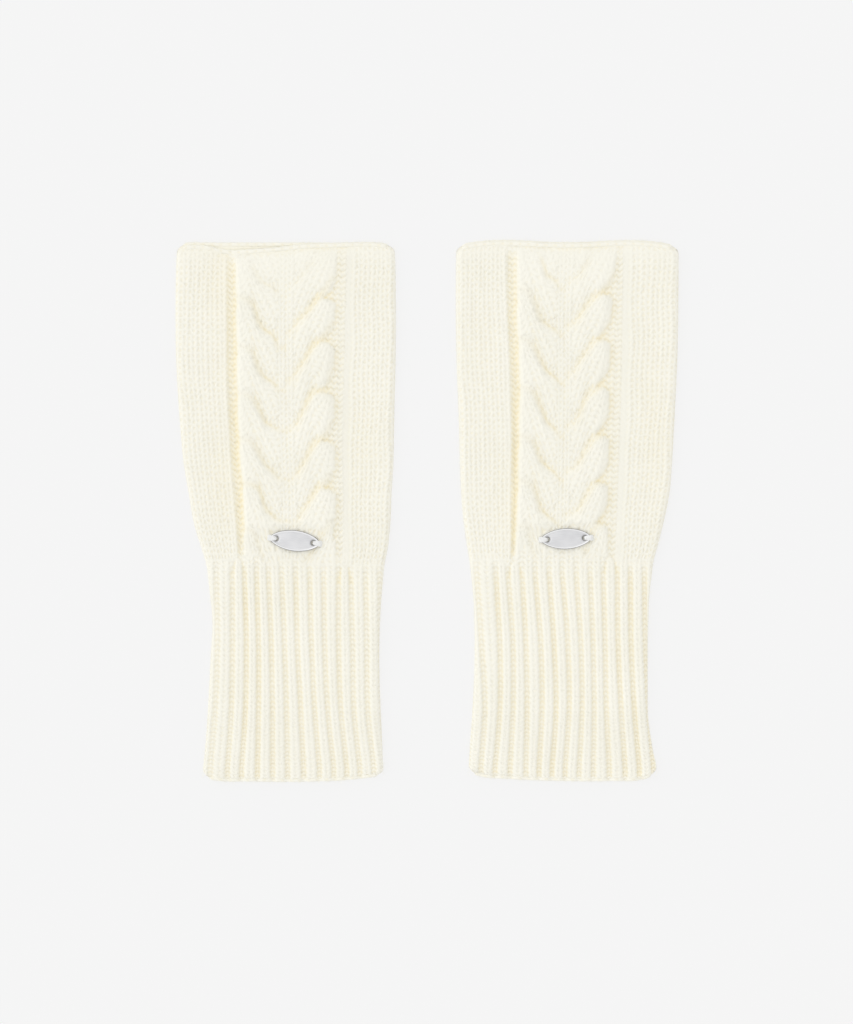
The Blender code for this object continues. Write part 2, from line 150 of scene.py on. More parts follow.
def corner(distance):
    """How far an opening's rounded corner draws the side in, at a distance from the opening."""
    d = np.clip(distance, 0, CORNER)
    return CORNER - np.sqrt(CORNER**2 - (CORNER - d) ** 2)


def courses_between(seam, opening, step):
    """Levels from the seam to an opening, and how far round the rolled edge each is, 1 to 0."""
    away = abs(opening - seam) - LIP
    flat = np.linspace(0, away, round(away / step))
    bend = np.linspace(math.pi / 2, 0, 7)[1:]
    reach = np.concatenate([flat, away + LIP * np.cos(bend)])
    lift = np.concatenate([np.ones(len(flat)), np.sin(bend)])
    return seam + reach * (1 if opening > seam else -1), lift


class Lie:
    """How one wall lies: a grid of points, courses from the seam to the opening, columns across.

    x and height say where a point is. spread is x measured along the cloth round the side folds.
    fold and lip run from 1 on the flat to 0 at a side fold or at the opening, and out_x and out_y
    are how far the cloth faces outwards there. rim is the course that the opening's chain lies
    against.
    """

    def __init__(self, side, opening, rims, rim_column, step):
        level, lip = courses_between(SEAM, opening, step)
        left, right = column(OUTLINE[side], 1, level), column(OUTLINE[side], 2, level)
        draw = corner(abs(level - opening))
        left, right = left + draw, right - draw
        cloth = right - left - 2 * FOLD_ACROSS + 2 * FOLD_ARC
        count = round(WALL_BREADTH / step)
        along = cloth[:, None] * np.linspace(0, 1, count)
        near = np.minimum(along, cloth[:, None] - along)
        outward = np.where(along < cloth[:, None] / 2, -1.0, 1.0)
        bends = near < FOLD_ARC
        angle = np.clip(near / FOLD_ARC, 0, 1) * math.pi / 2
        inward = np.where(bends, FOLD_ACROSS * (1 - np.cos(angle)), FOLD_ACROSS + near - FOLD_ARC)
        self.x = np.where(outward < 0, left[:, None] + inward, right[:, None] - inward)
        beyond = np.where(bends, inward - near + FOLD_ARC - FOLD_ACROSS, 0.0)
        self.spread = self.x + outward * beyond
        self.fold = np.sin(angle)
        self.out_x = outward * np.cos(angle)
        self.at_hand = opening > SEAM
        edge = curve(rims[:, 0], rims[:, rim_column], self.x) - RIM_IN * np.sign(opening - SEAM)
        follow = 1 - smooth(abs(level - opening) / OPENING_REACH)
        self.height = level[:, None] + (edge - opening) * follow[:, None]
        self.rim = int(np.flatnonzero(lip == 1)[-3])
        self.from_opening = np.abs(self.height - edge)
        self.lip = np.repeat(lip[:, None], count, axis=1)
        self.out_y = np.sign(opening - SEAM) * np.cos(np.arcsin(np.clip(self.lip, 0, 1)))

    def points(self, outer, level, relief):
        """The outer face: its height over the table, rounded at folds and lip, and stitches."""
        into_chain = np.sign(outer.mean() - level.mean()) * (1 - self.lip) * self.fold
        z = level + into_chain + (outer - level - into_chain) * self.fold * self.lip
        up = np.sign(outer.mean() - level.mean()) * self.fold * self.lip
        facing = np.stack([self.out_x, self.out_y, up], axis=-1)
        facing /= np.maximum(np.linalg.norm(facing, axis=-1, keepdims=True), 1e-6)
        settle = smooth(self.fold * 3) * smooth(self.lip * 3)
        return np.stack([self.x, self.height, z], axis=-1) + facing * (relief * settle)[..., None]


# Every stitch of a hand knit differs a little: one number for each wale and course, which repeat
# only far apart.
UNEVEN_WALES, UNEVEN_COURSES = 61, 127
UNEVEN = np.random.default_rng(11).uniform(-1, 1, (UNEVEN_WALES, UNEVEN_COURSES))


def uneven(wale, course):
    """How a stitch differs from the others, -1 to 1."""
    wale, course = np.floor(wale).astype(int), np.floor(course).astype(int)
    return UNEVEN[wale % UNEVEN_WALES, course % UNEVEN_COURSES]


def drift(x, y, size, seed):
    """Slow unevenness of hand-made cloth, about -1 to 1, over a length of size."""
    rng = np.random.default_rng(seed)
    total = np.zeros(np.shape(x))
    for _ in range(7):
        turn, phase = rng.uniform(0, 2 * math.pi, 2)
        length = size * rng.uniform(0.6, 1.6)
        along = (x * math.cos(turn) + y * math.sin(turn)) / length
        total = total + np.sin(2 * math.pi * along + phase)
    return total / 3.0


def plain_stitch(wale, course):
    """A plain stitch, 0 to 1: two legs that lean apart in a V, tucked under the next course."""
    a = np.abs(wale % 1 - 0.5)
    course = course + WALE_SHIFT * uneven(wale, np.full(np.shape(wale), 5))
    best = np.zeros(a.shape)
    ply = np.zeros(a.shape + (2,))
    for k in (-1, 0, 1):
        own = uneven(wale, course - k)
        y = course % 1 + k
        leg = LEG_FOOT + LEG_LEAN * smooth((y + 0.05) / 1.15)
        width = LEG_HALF * (1 + 0.08 * own) + LEG_SWELL * np.sin(np.clip(y, 0, 1.1) * math.pi / 1.1)
        across = (a - leg) / width
        along = 1 - ((y - LEG_MIDDLE - 0.05 * own) / LEG_REACH) ** 2
        up_leg = 0.58 + 0.42 * np.sqrt(np.clip(along, 0, 1))
        crown = np.sqrt(np.clip(1 - across**2, 0, 1)) * up_leg
        crown = crown * (along > 0) * (1 + 0.06 * own)
        wins = crown > best
        best = np.where(wins, crown, best)
        ply = np.where(wins[..., None], np.stack([across, y * 1.6], axis=-1), ply)
    return best, ply


def purl_stitch(wale, course):
    """A purl stitch, 0 to 1: a low bar that waves up and down across the wale."""
    wave = np.cos(2 * math.pi * (wale % 1 - 0.5))
    best = np.zeros(wave.shape)
    ply = np.zeros(wave.shape + (2,))
    for k in (-1, 0, 1):
        own = uneven(wale, course - k)
        across = (course % 1 - 0.5 - PURL_WAVE * wave - k) / (PURL_HALF * (1 + 0.06 * own))
        bar = np.sqrt(np.clip(1 - across**2, 0, 1)) * (0.55 + 0.45 * np.abs(wave))
        wins = bar > best
        best = np.where(wins, bar, best)
        ply = np.where(wins[..., None], np.stack([across, (wale % 1) * 1.8], axis=-1), ply)
    return best, ply


def blurred(z, reach):
    """Mean of a grid over a square of points, once each way, and again for a softer fall-off."""
    for _ in range(2):
        for axis in (0, 1):
            ends = [(reach, reach) if a == axis else (0, 0) for a in (0, 1)]
            total = np.cumsum(np.pad(z, ends, mode="edge"), axis=axis)
            zero = np.zeros_like(np.take(total, [0], axis=axis))
            total = np.concatenate([zero, total], axis=axis)
            size = 2 * reach + 1
            ahead = np.take(total, range(size, total.shape[axis]), axis=axis)
            behind = np.take(total, range(0, total.shape[axis] - size), axis=axis)
            z = (ahead - behind) / size
    return z


# Painted shade between stitches and in channels: how far round a point is looked at, the painted
# shade for each millimetre that it lies below the knit there, and the most painted shade.
CREVICE_SHADE_STEPS = ((1.0, 0.2, 0.3), (2.6, 0.6, 0.8))


def painted_crevice_shade(z, step):
    """Painted shade from how deep a point lies in the knit round it, from 0 on the crowns to 1 in a
    deep channel.
    """
    return sum(np.clip(shade * (blurred(z, max(1, round(reach / step))) - z), 0, most)
               for reach, shade, most in CREVICE_SHADE_STEPS)


def grid_faces(rows, columns):
    i, j = np.meshgrid(np.arange(rows - 1), np.arange(columns - 1), indexing="ij")
    first = (i * columns + j).ravel()
    return np.stack([first, first + 1, first + columns + 1, first + columns], axis=1).tolist()


def make_piece(name, points, faces, finish, uv_map, mask=None, hard_edges=(), hard_angle=None):
    """A piece with its faces turned outwards and smooth, apart from its hard edges or sharp angles.

    Points are in millimetres. uv_map is a map's name and a place on it for each point, and mask is
    an attribute's name and a value for each point.
    """
    mesh = bpy.data.meshes.new(name)
    mesh.from_pydata((points * MM).tolist(), [], faces)
    map_name, places = uv_map
    layer = mesh.uv_layers.new(name=map_name)
    corners = np.zeros(len(mesh.loops), np.int32)
    mesh.loops.foreach_get("vertex_index", corners)
    layer.data.foreach_set("uv", places[corners].astype(np.float32).ravel())
    if mask:
        mask_name, values = mask
        attribute = mesh.attributes.new(mask_name, "FLOAT", "POINT")
        attribute.data.foreach_set("value", values.astype(np.float32))
    bm = bmesh.new()
    bm.from_mesh(mesh)
    bmesh.ops.recalc_face_normals(bm, faces=bm.faces)
    bm.verts.ensure_lookup_table()
    for one, other in hard_edges:
        bm.edges.get((bm.verts[int(one)], bm.verts[int(other)])).smooth = False
    if hard_angle:
        for edge in bm.edges:
            if len(edge.link_faces) == 2 and edge.calc_face_angle() > hard_angle:
                edge.smooth = False
    for face in bm.faces:
        face.smooth = True
    bm.to_mesh(mesh)
    bm.free()
    mesh.materials.append(finish)
    piece = bpy.data.objects.new(name, mesh)
    bpy.context.scene.collection.objects.link(piece)
    return piece


INNER_STEP = 14          # a plain inner face has a point for this many of the outer face, each way
# Painted shade given to the points of the inner face and the seam.
INNER_SHADE = 0.1


def knit_piece(name, side, points, ply, painted_shade, inner, finish, fine_rows=0):
    """A closed shell of cloth. Its outer face is a grid of points whose row 0 is at the seam.

    Its inner face is filled from the grid's edge, at the height that inner gives for a point, and
    with more points in the rows by the opening where they show.
    """
    rows, columns = points.shape[:2]
    number = np.arange(rows * columns).reshape(rows, columns)
    seam = points[0, 1:-1].copy()
    seam[:, 0] = np.linspace(points[0, 0, 0], points[0, -1, 0], columns)[1:-1]
    seam[:, 2] = inner(seam[:, 0], seam[:, 1])
    seam_number = rows * columns + np.arange(columns - 2)
    faces = grid_faces(rows, columns)
    low = [number[0, 0], *seam_number, number[0, -1]]
    for j in range(columns - 1):
        faces.append(list(dict.fromkeys([number[0, j], number[0, j + 1], low[j + 1], low[j]])))

    middle = np.zeros((rows, columns), bool)
    sparse = slice(INNER_STEP // 2, -INNER_STEP // 2, INNER_STEP)
    middle[sparse, sparse] = True
    if fine_rows:
        middle[-fine_rows:-3:2, 4:-4:2] = True
    inside = points[middle].copy()
    inside[:, 2] = inner(inside[:, 0], inside[:, 1])
    inside_number = rows * columns + len(seam) + np.arange(len(inside))
    rim = [*low, *number[1:, -1], *number[-1, -2::-1], *number[-2:0:-1, 0]]
    all_points = np.concatenate([points.reshape(-1, 3), seam, inside])
    flat_number = [*rim, *inside_number]
    flat = [Vector(all_points[n, :2]) for n in flat_number]
    filled = delaunay_2d_cdt(flat, [], [range(len(rim))], 1, 1e-5)
    for face in filled[2]:
        faces.append([flat_number[filled[3][i][0]] for i in face])

    across, up = middle_of(side)
    hidden = len(all_points) - rows * columns
    all_ply = np.concatenate([ply.reshape(-1, 2), np.zeros((hidden, 2))])
    all_painted_shade = np.concatenate([painted_shade.ravel(), np.full(hidden, INNER_SHADE)])
    return make_piece(name, all_points + np.array([across, up, 0.0]), faces, finish,
                      ("yarn", all_ply), ("painted_shade", all_painted_shade),
                      hard_edges=zip(number[0, :-1], number[0, 1:]))


def new_group(name, inputs, outputs):
    group = bpy.data.node_groups.new(name, "ShaderNodeTree")
    for label, kind, value in inputs:
        socket = group.interface.new_socket(label, in_out="INPUT", socket_type=kind)
        socket.default_value = value
    for label, kind in outputs:
        group.interface.new_socket(label, in_out="OUTPUT", socket_type=kind)
    return group, group.nodes.new("NodeGroupInput"), group.nodes.new("NodeGroupOutput")


def node(tree, kind, settings=None, **inputs):
    """A node with its settings and inputs. An input is a value, or the socket that feeds it.

    An input is given by its name, or as _0, _1 and so on by its number.
    """
    made = tree.nodes.new(kind)
    for key, value in (settings or {}).items():
        setattr(made, key, value)
    for key, value in inputs.items():
        socket = made.inputs[int(key[1:]) if key[1:].isdigit() else key.replace("_", " ")]
        if isinstance(value, bpy.types.NodeSocket):
            tree.links.new(value, socket)
        else:
            socket.default_value = value
    return made


def maths(tree, operation, *values):
    """What an operation gives for some values or sockets."""
    inputs = {f"_{n}": value for n, value in enumerate(values)}
    return node(tree, "ShaderNodeMath", {"operation": operation}, **inputs).outputs[0]


def blend(tree, share, low, high):
    """A colour that goes from one colour to another, as a share runs from 0 to 1."""
    made = node(tree, "ShaderNodeMix", {"data_type": "RGBA"}, _0=share, _6=low, _7=high)
    return made.outputs[2]


def spun_wool():
    """Woollen yarn close up: the plies that wind round each leg of a stitch, and their fibres."""
    group, given, out = new_group(
        "spun wool",
        [("Ply Turns", "NodeSocketFloat", 3.0), ("Fibre Scale", "NodeSocketFloat", 2600.0)],
        [("Ply", "NodeSocketFloat"), ("Fibre", "NodeSocketFloat"), ("Shade", "NodeSocketFloat")],
    )
    yarn = node(group, "ShaderNodeUVMap", {"uv_map": "yarn"})
    parts = node(group, "ShaderNodeSeparateXYZ", Vector=yarn.outputs[0])
    lean = maths(group, "MULTIPLY", parts.outputs["X"], 0.22)
    wound = maths(group, "ADD", parts.outputs["Y"], lean)
    turns = maths(group, "MULTIPLY", wound, given.outputs["Ply Turns"])
    wave = maths(group, "SINE", maths(group, "MULTIPLY", turns, math.pi))
    round_ply = maths(group, "ABSOLUTE", wave)
    place = node(group, "ShaderNodeTexCoord")
    fine = node(group, "ShaderNodeTexNoise", Vector=place.outputs["Object"],
                Scale=given.outputs["Fibre Scale"], Detail=3.0, Roughness=0.6)
    broad = node(group, "ShaderNodeTexNoise", Vector=place.outputs["Object"],
                 Scale=45.0, Detail=2.0)
    group.links.new(round_ply, out.inputs["Ply"])
    group.links.new(fine.outputs[0], out.inputs["Fibre"])
    group.links.new(broad.outputs[0], out.inputs["Shade"])
    return group


WOOL = (0.966, 0.946, 0.852, 1.0)
WOOL_SHADE = (0.950, 0.929, 0.826, 1.0)   # in slow patches
WOOL_PAINTED_SHADE = (0.965, 0.865, 0.60, 1.0)     # painted shade deep between stitches, in creases and channels, for light bouncing in the wool


def new_material(name):
    """A material with its node tree and the shader in it."""
    material = bpy.data.materials.new(name)
    material.use_nodes = True
    return material, material.node_tree, material.node_tree.nodes["Principled BSDF"]


def cream_wool(name, yarn_group):
    """Undyed cream wool: matt and a little downy, with painted shade that makes it yellower deep
    between stitches.
    """
    material, tree, shader = new_material(name)
    yarn = node(tree, "ShaderNodeGroup", {"node_tree": yarn_group})
    patch_tone_and_painted_shade = node(tree, "ShaderNodeMapRange", Value=yarn.outputs["Shade"], From_Min=0.3, From_Max=0.7)
    cream = blend(tree, patch_tone_and_painted_shade.outputs[0], WOOL_SHADE, WOOL)
    # Painted shade: each point's painted shade value mixes the wool towards a yellower colour in
    # crevices, creases and channels.
    painted_shade = node(tree, "ShaderNodeAttribute", {"attribute_name": "painted_shade"})
    colour = blend(tree, painted_shade.outputs["Fac"], cream, WOOL_PAINTED_SHADE)
    ply = maths(tree, "MULTIPLY", yarn.outputs["Ply"], 0.6)
    height = maths(tree, "ADD", ply, yarn.outputs["Fibre"])
    bump = node(tree, "ShaderNodeBump", Height=height, Strength=0.35, Distance=0.00012)
    tree.links.new(colour, shader.inputs["Base Color"])
    tree.links.new(bump.outputs[0], shader.inputs["Normal"])
    shader.inputs["Roughness"].default_value = 0.9
    shader.inputs["Specular IOR Level"].default_value = 0.15
    shader.inputs["Sheen Weight"].default_value = 0.15
    shader.inputs["Sheen Roughness"].default_value = 0.5
    return material


wool = cream_wool("cream_wool", spun_wool())


# Where the mouth of each warmer stands a little open: x, half width. The right one is shut.
MOUTH_OPEN = {"left": (-39.0, 8.0), "right": (-30.0, 0.0)}
MOUTH_LIFT, MOUTH_DROP = 0.2, 0.15    # how far the front rises there, and the back sinks
MOUTH_DEEP = 7.0         # how far down from the rim it is open
MOUTH_ROWS = 26          # rows of points by the rim in which the inner face shows its stitches
INSIDE_BUMPS = 0.3       # relief of the purl side, which shows in the mouth
INSIDE_RISE = 0.35       # how far it rises to its chain, over the last few millimetres


def gape(side, x, height):
    """How open the mouth is at a point, 0 to 1."""
    at, half = MOUTH_OPEN[side]
    if half == 0:
        return np.zeros(np.shape(x))
    across = 1 - smooth(np.abs(x - at) / half)
    return across * smooth((height - TOP + MOUTH_DEEP) / MOUTH_DEEP)


def flat_area(side, low, high):
    """Area of one wall between two heights, in square metres, and its widest breadth in metres."""
    heights = np.linspace(low, high, 200)
    breadth = (column(OUTLINE[side], 2, heights) - column(OUTLINE[side], 1, heights)) * MM
    return float(breadth.mean() * (high - low) * MM), float(breadth.max())


def declare(piece, side, node_name, low, high):
    area, breadth = flat_area(side, low, high)
    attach(piece, "root")
    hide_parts(node_name)


def course_of(height):
    return (height - FIRST_COURSE) / COURSE


# Where the cloth of each back lies a little off the table: x, height, half width, half length,
# depth.
BACK_SLACK = {
    "left": (
        (-30.0, 205.0, 6.0, 22.0, 0.35), (12.0, 168.0, 9.0, 14.0, 0.25),
        (-8.0, 126.0, 12.0, 7.0, 0.3), (30.0, 118.0, 5.0, 16.0, 0.35),
        (-14.0, 52.0, 7.0, 20.0, 0.3), (24.0, 22.0, 8.0, 9.0, 0.2),
    ),
    "right": (
        (28.0, 214.0, 7.0, 17.0, 0.3), (-18.0, 178.0, 6.0, 25.0, 0.35),
        (6.0, 131.0, 10.0, 9.0, 0.25), (-31.0, 112.0, 6.0, 12.0, 0.35),
        (19.0, 61.0, 6.0, 24.0, 0.3), (-20.0, 18.0, 9.0, 8.0, 0.2),
    ),
}


def slack(places, x, height):
    """How far the cloth sinks at a point in a few soft dips."""
    depth = np.zeros(np.shape(x))
    for at_x, at_height, wide, long, deep in places:
        away = -(((x - at_x) / wide) ** 2) - ((height - at_height) / long) ** 2
        depth = depth + deep * np.exp(away)
    return depth


def inside_hand_back(side):
    """Height of the inner face of a back: its purl side, which sinks where the mouth is open."""
    def inner(x, height):
        wale = x / (2 * column(OUTLINE[side], 2, height)) * BACK_WALES
        bumps = purl_stitch(wale, course_of(height))[0]
        rise = INSIDE_RISE * smooth((height - TOP + 5) / 3)
        drop = MOUTH_DROP * gape(side, x, height)
        return BACK_TOP - INSIDE_BUMPS + INSIDE_BUMPS * bumps + rise - drop
    return inner


for side in PAIR:
    lie = Lie(side, TOP, RIMS[side], 2, BACK_STEP)
    breadth = (lie.spread[:, -1] - lie.spread[:, 0])[:, None]
    wale = (lie.spread - lie.spread[:, :1]) / breadth * BACK_WALES
    stitch, ply = plain_stitch(wale, course_of(lie.height))
    outer = slack(BACK_SLACK[side], lie.x, lie.height)
    level = np.full(lie.x.shape, FOLD_LEVEL)
    points = lie.points(outer, level, STITCH_DEPTH * (stitch - 1))
    # Painted shade in the crevices between stitches.
    shade = painted_crevice_shade(STITCH_DEPTH * stitch - outer, BACK_STEP)
    piece = knit_piece(f"{side}_back_of_hand", side, points, ply, shade, inside_hand_back(side),
                       wool, fine_rows=MOUTH_ROWS)
    declare(piece, side, f"{side}_hand_back", SEAM, TOP)

# --------------------------------------------------------------------------------------------------
# The back of each cuff. Ribbing in the same wool, one plain wale to one purl wale, cast on at the
# cuff's edge. It carries on into the back of the hand part with no seam.

# Where each cuff's edge runs: x, height.
HEMS = {
    "left": np.array([
        (-37.0, 2.0), (-34.3, 1.2), (-13.4, 0.1), (9.8, 0.0), (28.0, 0.8), (43.6, 2.6),
    ]),
    "right": np.array([
        (-43.8, 4.0), (-39.0, 2.4), (-25.8, 1.2), (-3.1, 0.3), (20.0, 0.3), (34.0, 1.0),
        (40.0, 3.2),
    ]),
}
# The channels between the cuff's ribs: x of each at the heights in RIB_HEIGHTS.
RIBS = {
    "left": np.array([
        (-33.4, -31.2, -30.2, -30.7), (-25.8, -24.0, -23.6, -23.6), (-19.6, -17.8, -17.4, -18.3),
        (-12.5, -12.0, -12.0, -12.9), (-5.8, -5.8, -6.3, -7.6), (0.9, 0.4, -0.4, -1.8),
        (8.0, 6.7, 5.3, 4.5), (15.1, 12.9, 11.6, 10.7), (21.4, 18.7, 17.4, 16.9),
        (27.2, 24.5, 23.6, 23.6), (33.0, 30.3, 29.8, 29.0), (39.2, 36.5, 36.1, 35.6),
    ]),
    "right": np.array([
        (-38.3, -36.5, -37.9, -40.1), (-32.1, -29.8, -29.8, -31.6), (-25.4, -24.0, -24.0, -26.3),
        (-18.3, -17.8, -18.3, -20.0), (-12.5, -11.1, -11.6, -14.2), (-6.7, -4.9, -5.8, -8.0),
        (-0.9, 0.9, 0.4, -2.2), (5.3, 6.7, 6.2, 4.0), (11.6, 12.0, 11.6, 10.2),
        (18.7, 17.4, 16.9, 16.0), (25.8, 24.0, 22.7, 22.3), (32.1, 29.8, 28.5, 28.1),
    ]),
}
RIB_HEIGHTS = np.array([6.0, 33.0, 60.0, 93.0])
# Depth of each channel beside the usual one, with two more beyond either side.
RIB_DEEP = {
    "left": np.array((
        0.5, 0.5, 0.6, 0.85, 1.2, 1.2, 1.0, 0.9, 1.0, 0.95, 0.85, 0.95, 0.8, 0.7, 0.6, 0.6,
    )),
    "right": np.array((
        0.6, 0.6, 0.8, 1.15, 0.95, 1.0, 1.1, 1.2, 1.05, 0.95, 0.9, 1.0, 1.15, 1.3, 1.2, 1.2,
    )),
}
RIB_PERIOD = 6.2         # from one channel to the next beyond the last one that the table gives
PURL_WIDTH = 2.3         # breadth of the purl wale in a channel
RIB_CLEAR = 0.40         # a rib ends this far from the middle of a channel, in shares of that
PURL_SHOWS = 0.42        # and purl stitches show this far to either side of it
PURL_SPREAD = 1.15       # a purl stitch there is this much broader than what shows of it
RIB_ROUND = 2.6          # how square the crown of a rib is, 2 for a plain round
RIB_RELIEF = 1.2         # from the floor of a channel to the crown of a rib
RIB_PRESSED = 0.55       # share of it that is left where the cuff lies on the table
RIB_STITCH = 0.8         # relief of a stitch there beside one in the hand part
HEM_ROWS = 14            # rows of points by the cuff's edge in which the inner face is fine
CUFF_COURSE, HEM_COURSE = 2.30, 1.76   # height of a course high up in the cuff, and at its edge
HEM_REACH = 31.0         # the courses are short up to here


def cuff_course(height):
    """Courses counted up from the cuff's edge."""
    short = np.clip(height, -5, HEM_REACH)
    return short / HEM_COURSE + np.maximum(height - HEM_REACH, 0) / CUFF_COURSE


def rib_channels(side, height):
    """x of each channel at a height, with one more beyond either side."""
    at = np.stack([curve(RIB_HEIGHTS, row, height) for row in RIBS[side]], axis=-1)
    before = [at[..., :1] - RIB_PERIOD * n for n in (2, 1)]
    after = [at[..., -1:] + RIB_PERIOD * n for n in (1, 2)]
    return np.concatenate([*before, at, *after], axis=-1)


def ribbing(side, lie):
    """The ribs' form, from 0 in a channel to 1 on a crown, their stitches and their ply."""
    spread = lie.spread
    channels = rib_channels(side, lie.height)
    row = (channels <= spread[..., None]).sum(axis=-1) - 1
    row = np.clip(row, 0, channels.shape[-1] - 2)
    low = np.take_along_axis(channels, row[..., None], -1)[..., 0]
    high = np.take_along_axis(channels, row[..., None] + 1, -1)[..., 0]
    centre, half = (low + high) / 2, (high - low) / 2
    out = np.abs(spread - centre) / (half - RIB_CLEAR * PURL_WIDTH)
    form = np.sqrt(np.clip(1 - np.clip(out, 0, 1) ** RIB_ROUND, 0, 1))
    form = 1 - (1 - form) * np.where(spread < centre, RIB_DEEP[side][row], RIB_DEEP[side][row + 1])
    course = cuff_course(lie.height)
    wale = (spread - centre) / (2 * half - PURL_WIDTH * 2 * RIB_CLEAR) + 0.5 + row
    plain, plain_ply = plain_stitch(wale, course)
    from_channel = np.minimum(spread - low, high - spread)
    sign = np.where(spread < centre, 1.0, -1.0)
    purl_wale = sign * from_channel / (PURL_WIDTH * PURL_SPREAD) + 0.5 + 31
    purl, purl_ply = purl_stitch(purl_wale, course + 0.5)
    is_purl = from_channel < PURL_WIDTH * PURL_SHOWS
    stitch = np.where(is_purl, purl, plain)
    ply = np.where(is_purl[..., None], purl_ply, plain_ply)
    return form, stitch, ply


def level_inside(level):
    """A flat inner face at one height over the table."""
    return lambda x, height: np.full(np.shape(x), level)


for side in PAIR:
    lie = Lie(side, 0.0, HEMS[side], 1, BACK_STEP)
    form, stitch, ply = ribbing(side, lie)
    shallow = 0.25 + 0.75 * smooth((SEAM - lie.height) / 7) * smooth(lie.from_opening / 2.5)
    outer = RIB_PRESSED * RIB_RELIEF * (1 - form) * shallow
    outer = outer + slack(BACK_SLACK[side], lie.x, lie.height)
    level = np.full(lie.x.shape, FOLD_LEVEL)
    points = lie.points(outer, level, STITCH_DEPTH * RIB_STITCH * (stitch - 1))
    # Painted shade in the crevices between stitches and ribs.
    shade = painted_crevice_shade(STITCH_DEPTH * RIB_STITCH * stitch - outer, BACK_STEP)
    piece = knit_piece(f"{side}_back_of_cuff", side, points, ply, shade, level_inside(BACK_TOP),
                       wool, fine_rows=HEM_ROWS)
    declare(piece, side, f"{side}_cuff_back", 0.0, SEAM)

# --------------------------------------------------------------------------------------------------
# The front of each hand part. A horseshoe cable, 12 stitches wide, climbs between two purl channels
# with plain knit on either side. Cast off at the hand opening with a chain of stitches.

FRONT_UNDER = 2.2        # inner face of the front walls
FRONT_THIN = 0.6         # a front wall is nowhere thinner than this
KNIT_TOP = 4.2           # outer face of the plain knit panels
STITCH_MEAN = 0.6        # mean height of the stitches, in shares of their depth
# Of the left and the right channel: how far a panel's edge stands up beside it, the width of the
# slope from it up to the plain panel, and how far the floor rises from its left side to its right.
EDGE_ROLL = (0.35, 0.45)
CHANNEL_BANK = (1.1, 1.5)
PURL_TILT = (0.6, 0.0)
# Height of the floor of the left and of the right channel, all along them.
CHANNEL_FLOOR = {
    "left": np.array([
        (97.4, 3.4, 4.4), (120.0, 2.9, 4.75), (185.0, 2.9, 4.85), (241.0, 2.9, 4.85),
    ]),
    "right": np.array([
        (97.4, 2.95, 4.3), (120.0, 2.95, 4.5), (185.0, 3.1, 4.65), (241.0, 3.5, 4.7),
    ]),
}
RIGHT_CHANNEL_PAINTED_SHADE = 0.08             # painted shade: how much yellower the shallow right channel is made
SLACK_PAINTED_SHADE = 0.20                     # and painted shade where the front lies 1 mm lower, as it turns from the light
# Where the front lies lower: x, height, half width, half length, depth.
FRONT_SLACK = {
    "left": (
        (-27.5, 224.0, 10.0, 22.0, 0.75), (-26.0, 180.0, 8.0, 22.0, 0.4),
        (-26.0, 132.0, 9.0, 22.0, 0.6), (-20.0, 62.0, 8.0, 22.0, 0.45),
        (34.0, 150.0, 8.0, 30.0, 0.3), (12.0, 30.0, 9.0, 14.0, 0.2),
    ),
    "right": (
        (-26.0, 122.0, 8.0, 20.0, 0.5), (36.0, 19.0, 7.0, 22.0, 0.7),
        (-3.0, 14.0, 9.0, 14.0, 0.35), (38.0, 160.0, 7.0, 34.0, 0.4),
        (-36.0, 190.0, 8.0, 22.0, 0.25), (16.0, 66.0, 8.0, 20.0, 0.2),
    ),
}
FADE = 24.0              # length over which the leaves die away at the rim
GROWTH = 16.0            # length over which the cable grows out of the ribbing
FRONT_STEP = 0.43        # spacing of the points on the front walls
RIM_RELIEF = 0.55        # share of a stitch's relief that is left beside the cast-off edge
RIM_CALM = (28.0, 10.0)  # how far from that edge the cable, and the rest, has its full relief
# Plain stitches beside the right channel lie flatter: by how much, how far out, and how soon not.
FLATTER = (0.65, 2.2, 1.4)
PURL_RELIEF = 1.2        # relief of the purl stitches in a channel, beside that of a plain stitch
CABLE_STITCH = 0.85      # and of the stitches of the cable
PANEL_WALES = {"left": (5.8, 5.6), "right": (6.1, 5.7)}   # plain wales on either side

# The purl channels: height, outer and inner side of the left one, inner and outer side of the
# right.
CHANNELS = {
    "left": np.array([
        (97.4, -20.8, -18.2, 22.0, 26.0), (123.5, -22.3, -18.4, 22.2, 26.3),
        (150.0, -24.4, -20.4, 21.7, 25.8), (187.0, -25.9, -21.4, 21.5, 26.9),
        (241.0, -25.7, -21.9, 22.6, 28.0),
    ]),
    "right": np.array([
        (97.4, -24.9, -23.0, 17.8, 21.8), (120.0, -24.5, -22.0, 17.7, 22.8),
        (150.0, -24.5, -21.3, 18.2, 23.9), (180.0, -25.0, -20.9, 18.5, 24.8),
        (205.0, -26.3, -22.0, 19.3, 25.3), (241.0, -26.8, -21.8, 22.0, 25.6),
    ]),
}
DIPS = {"left": (-26.0, 234.8, 0.9), "right": (-27.0, 235.5, 0.3)}    # x, height, depth of a hollow
DIP_HALF = (6.0, 4.5)                 # its half width and half length
RIM_LEVEL, RIM_REACH = 3.5, 6.0       # the cloth thins to this height at its rim, over this length

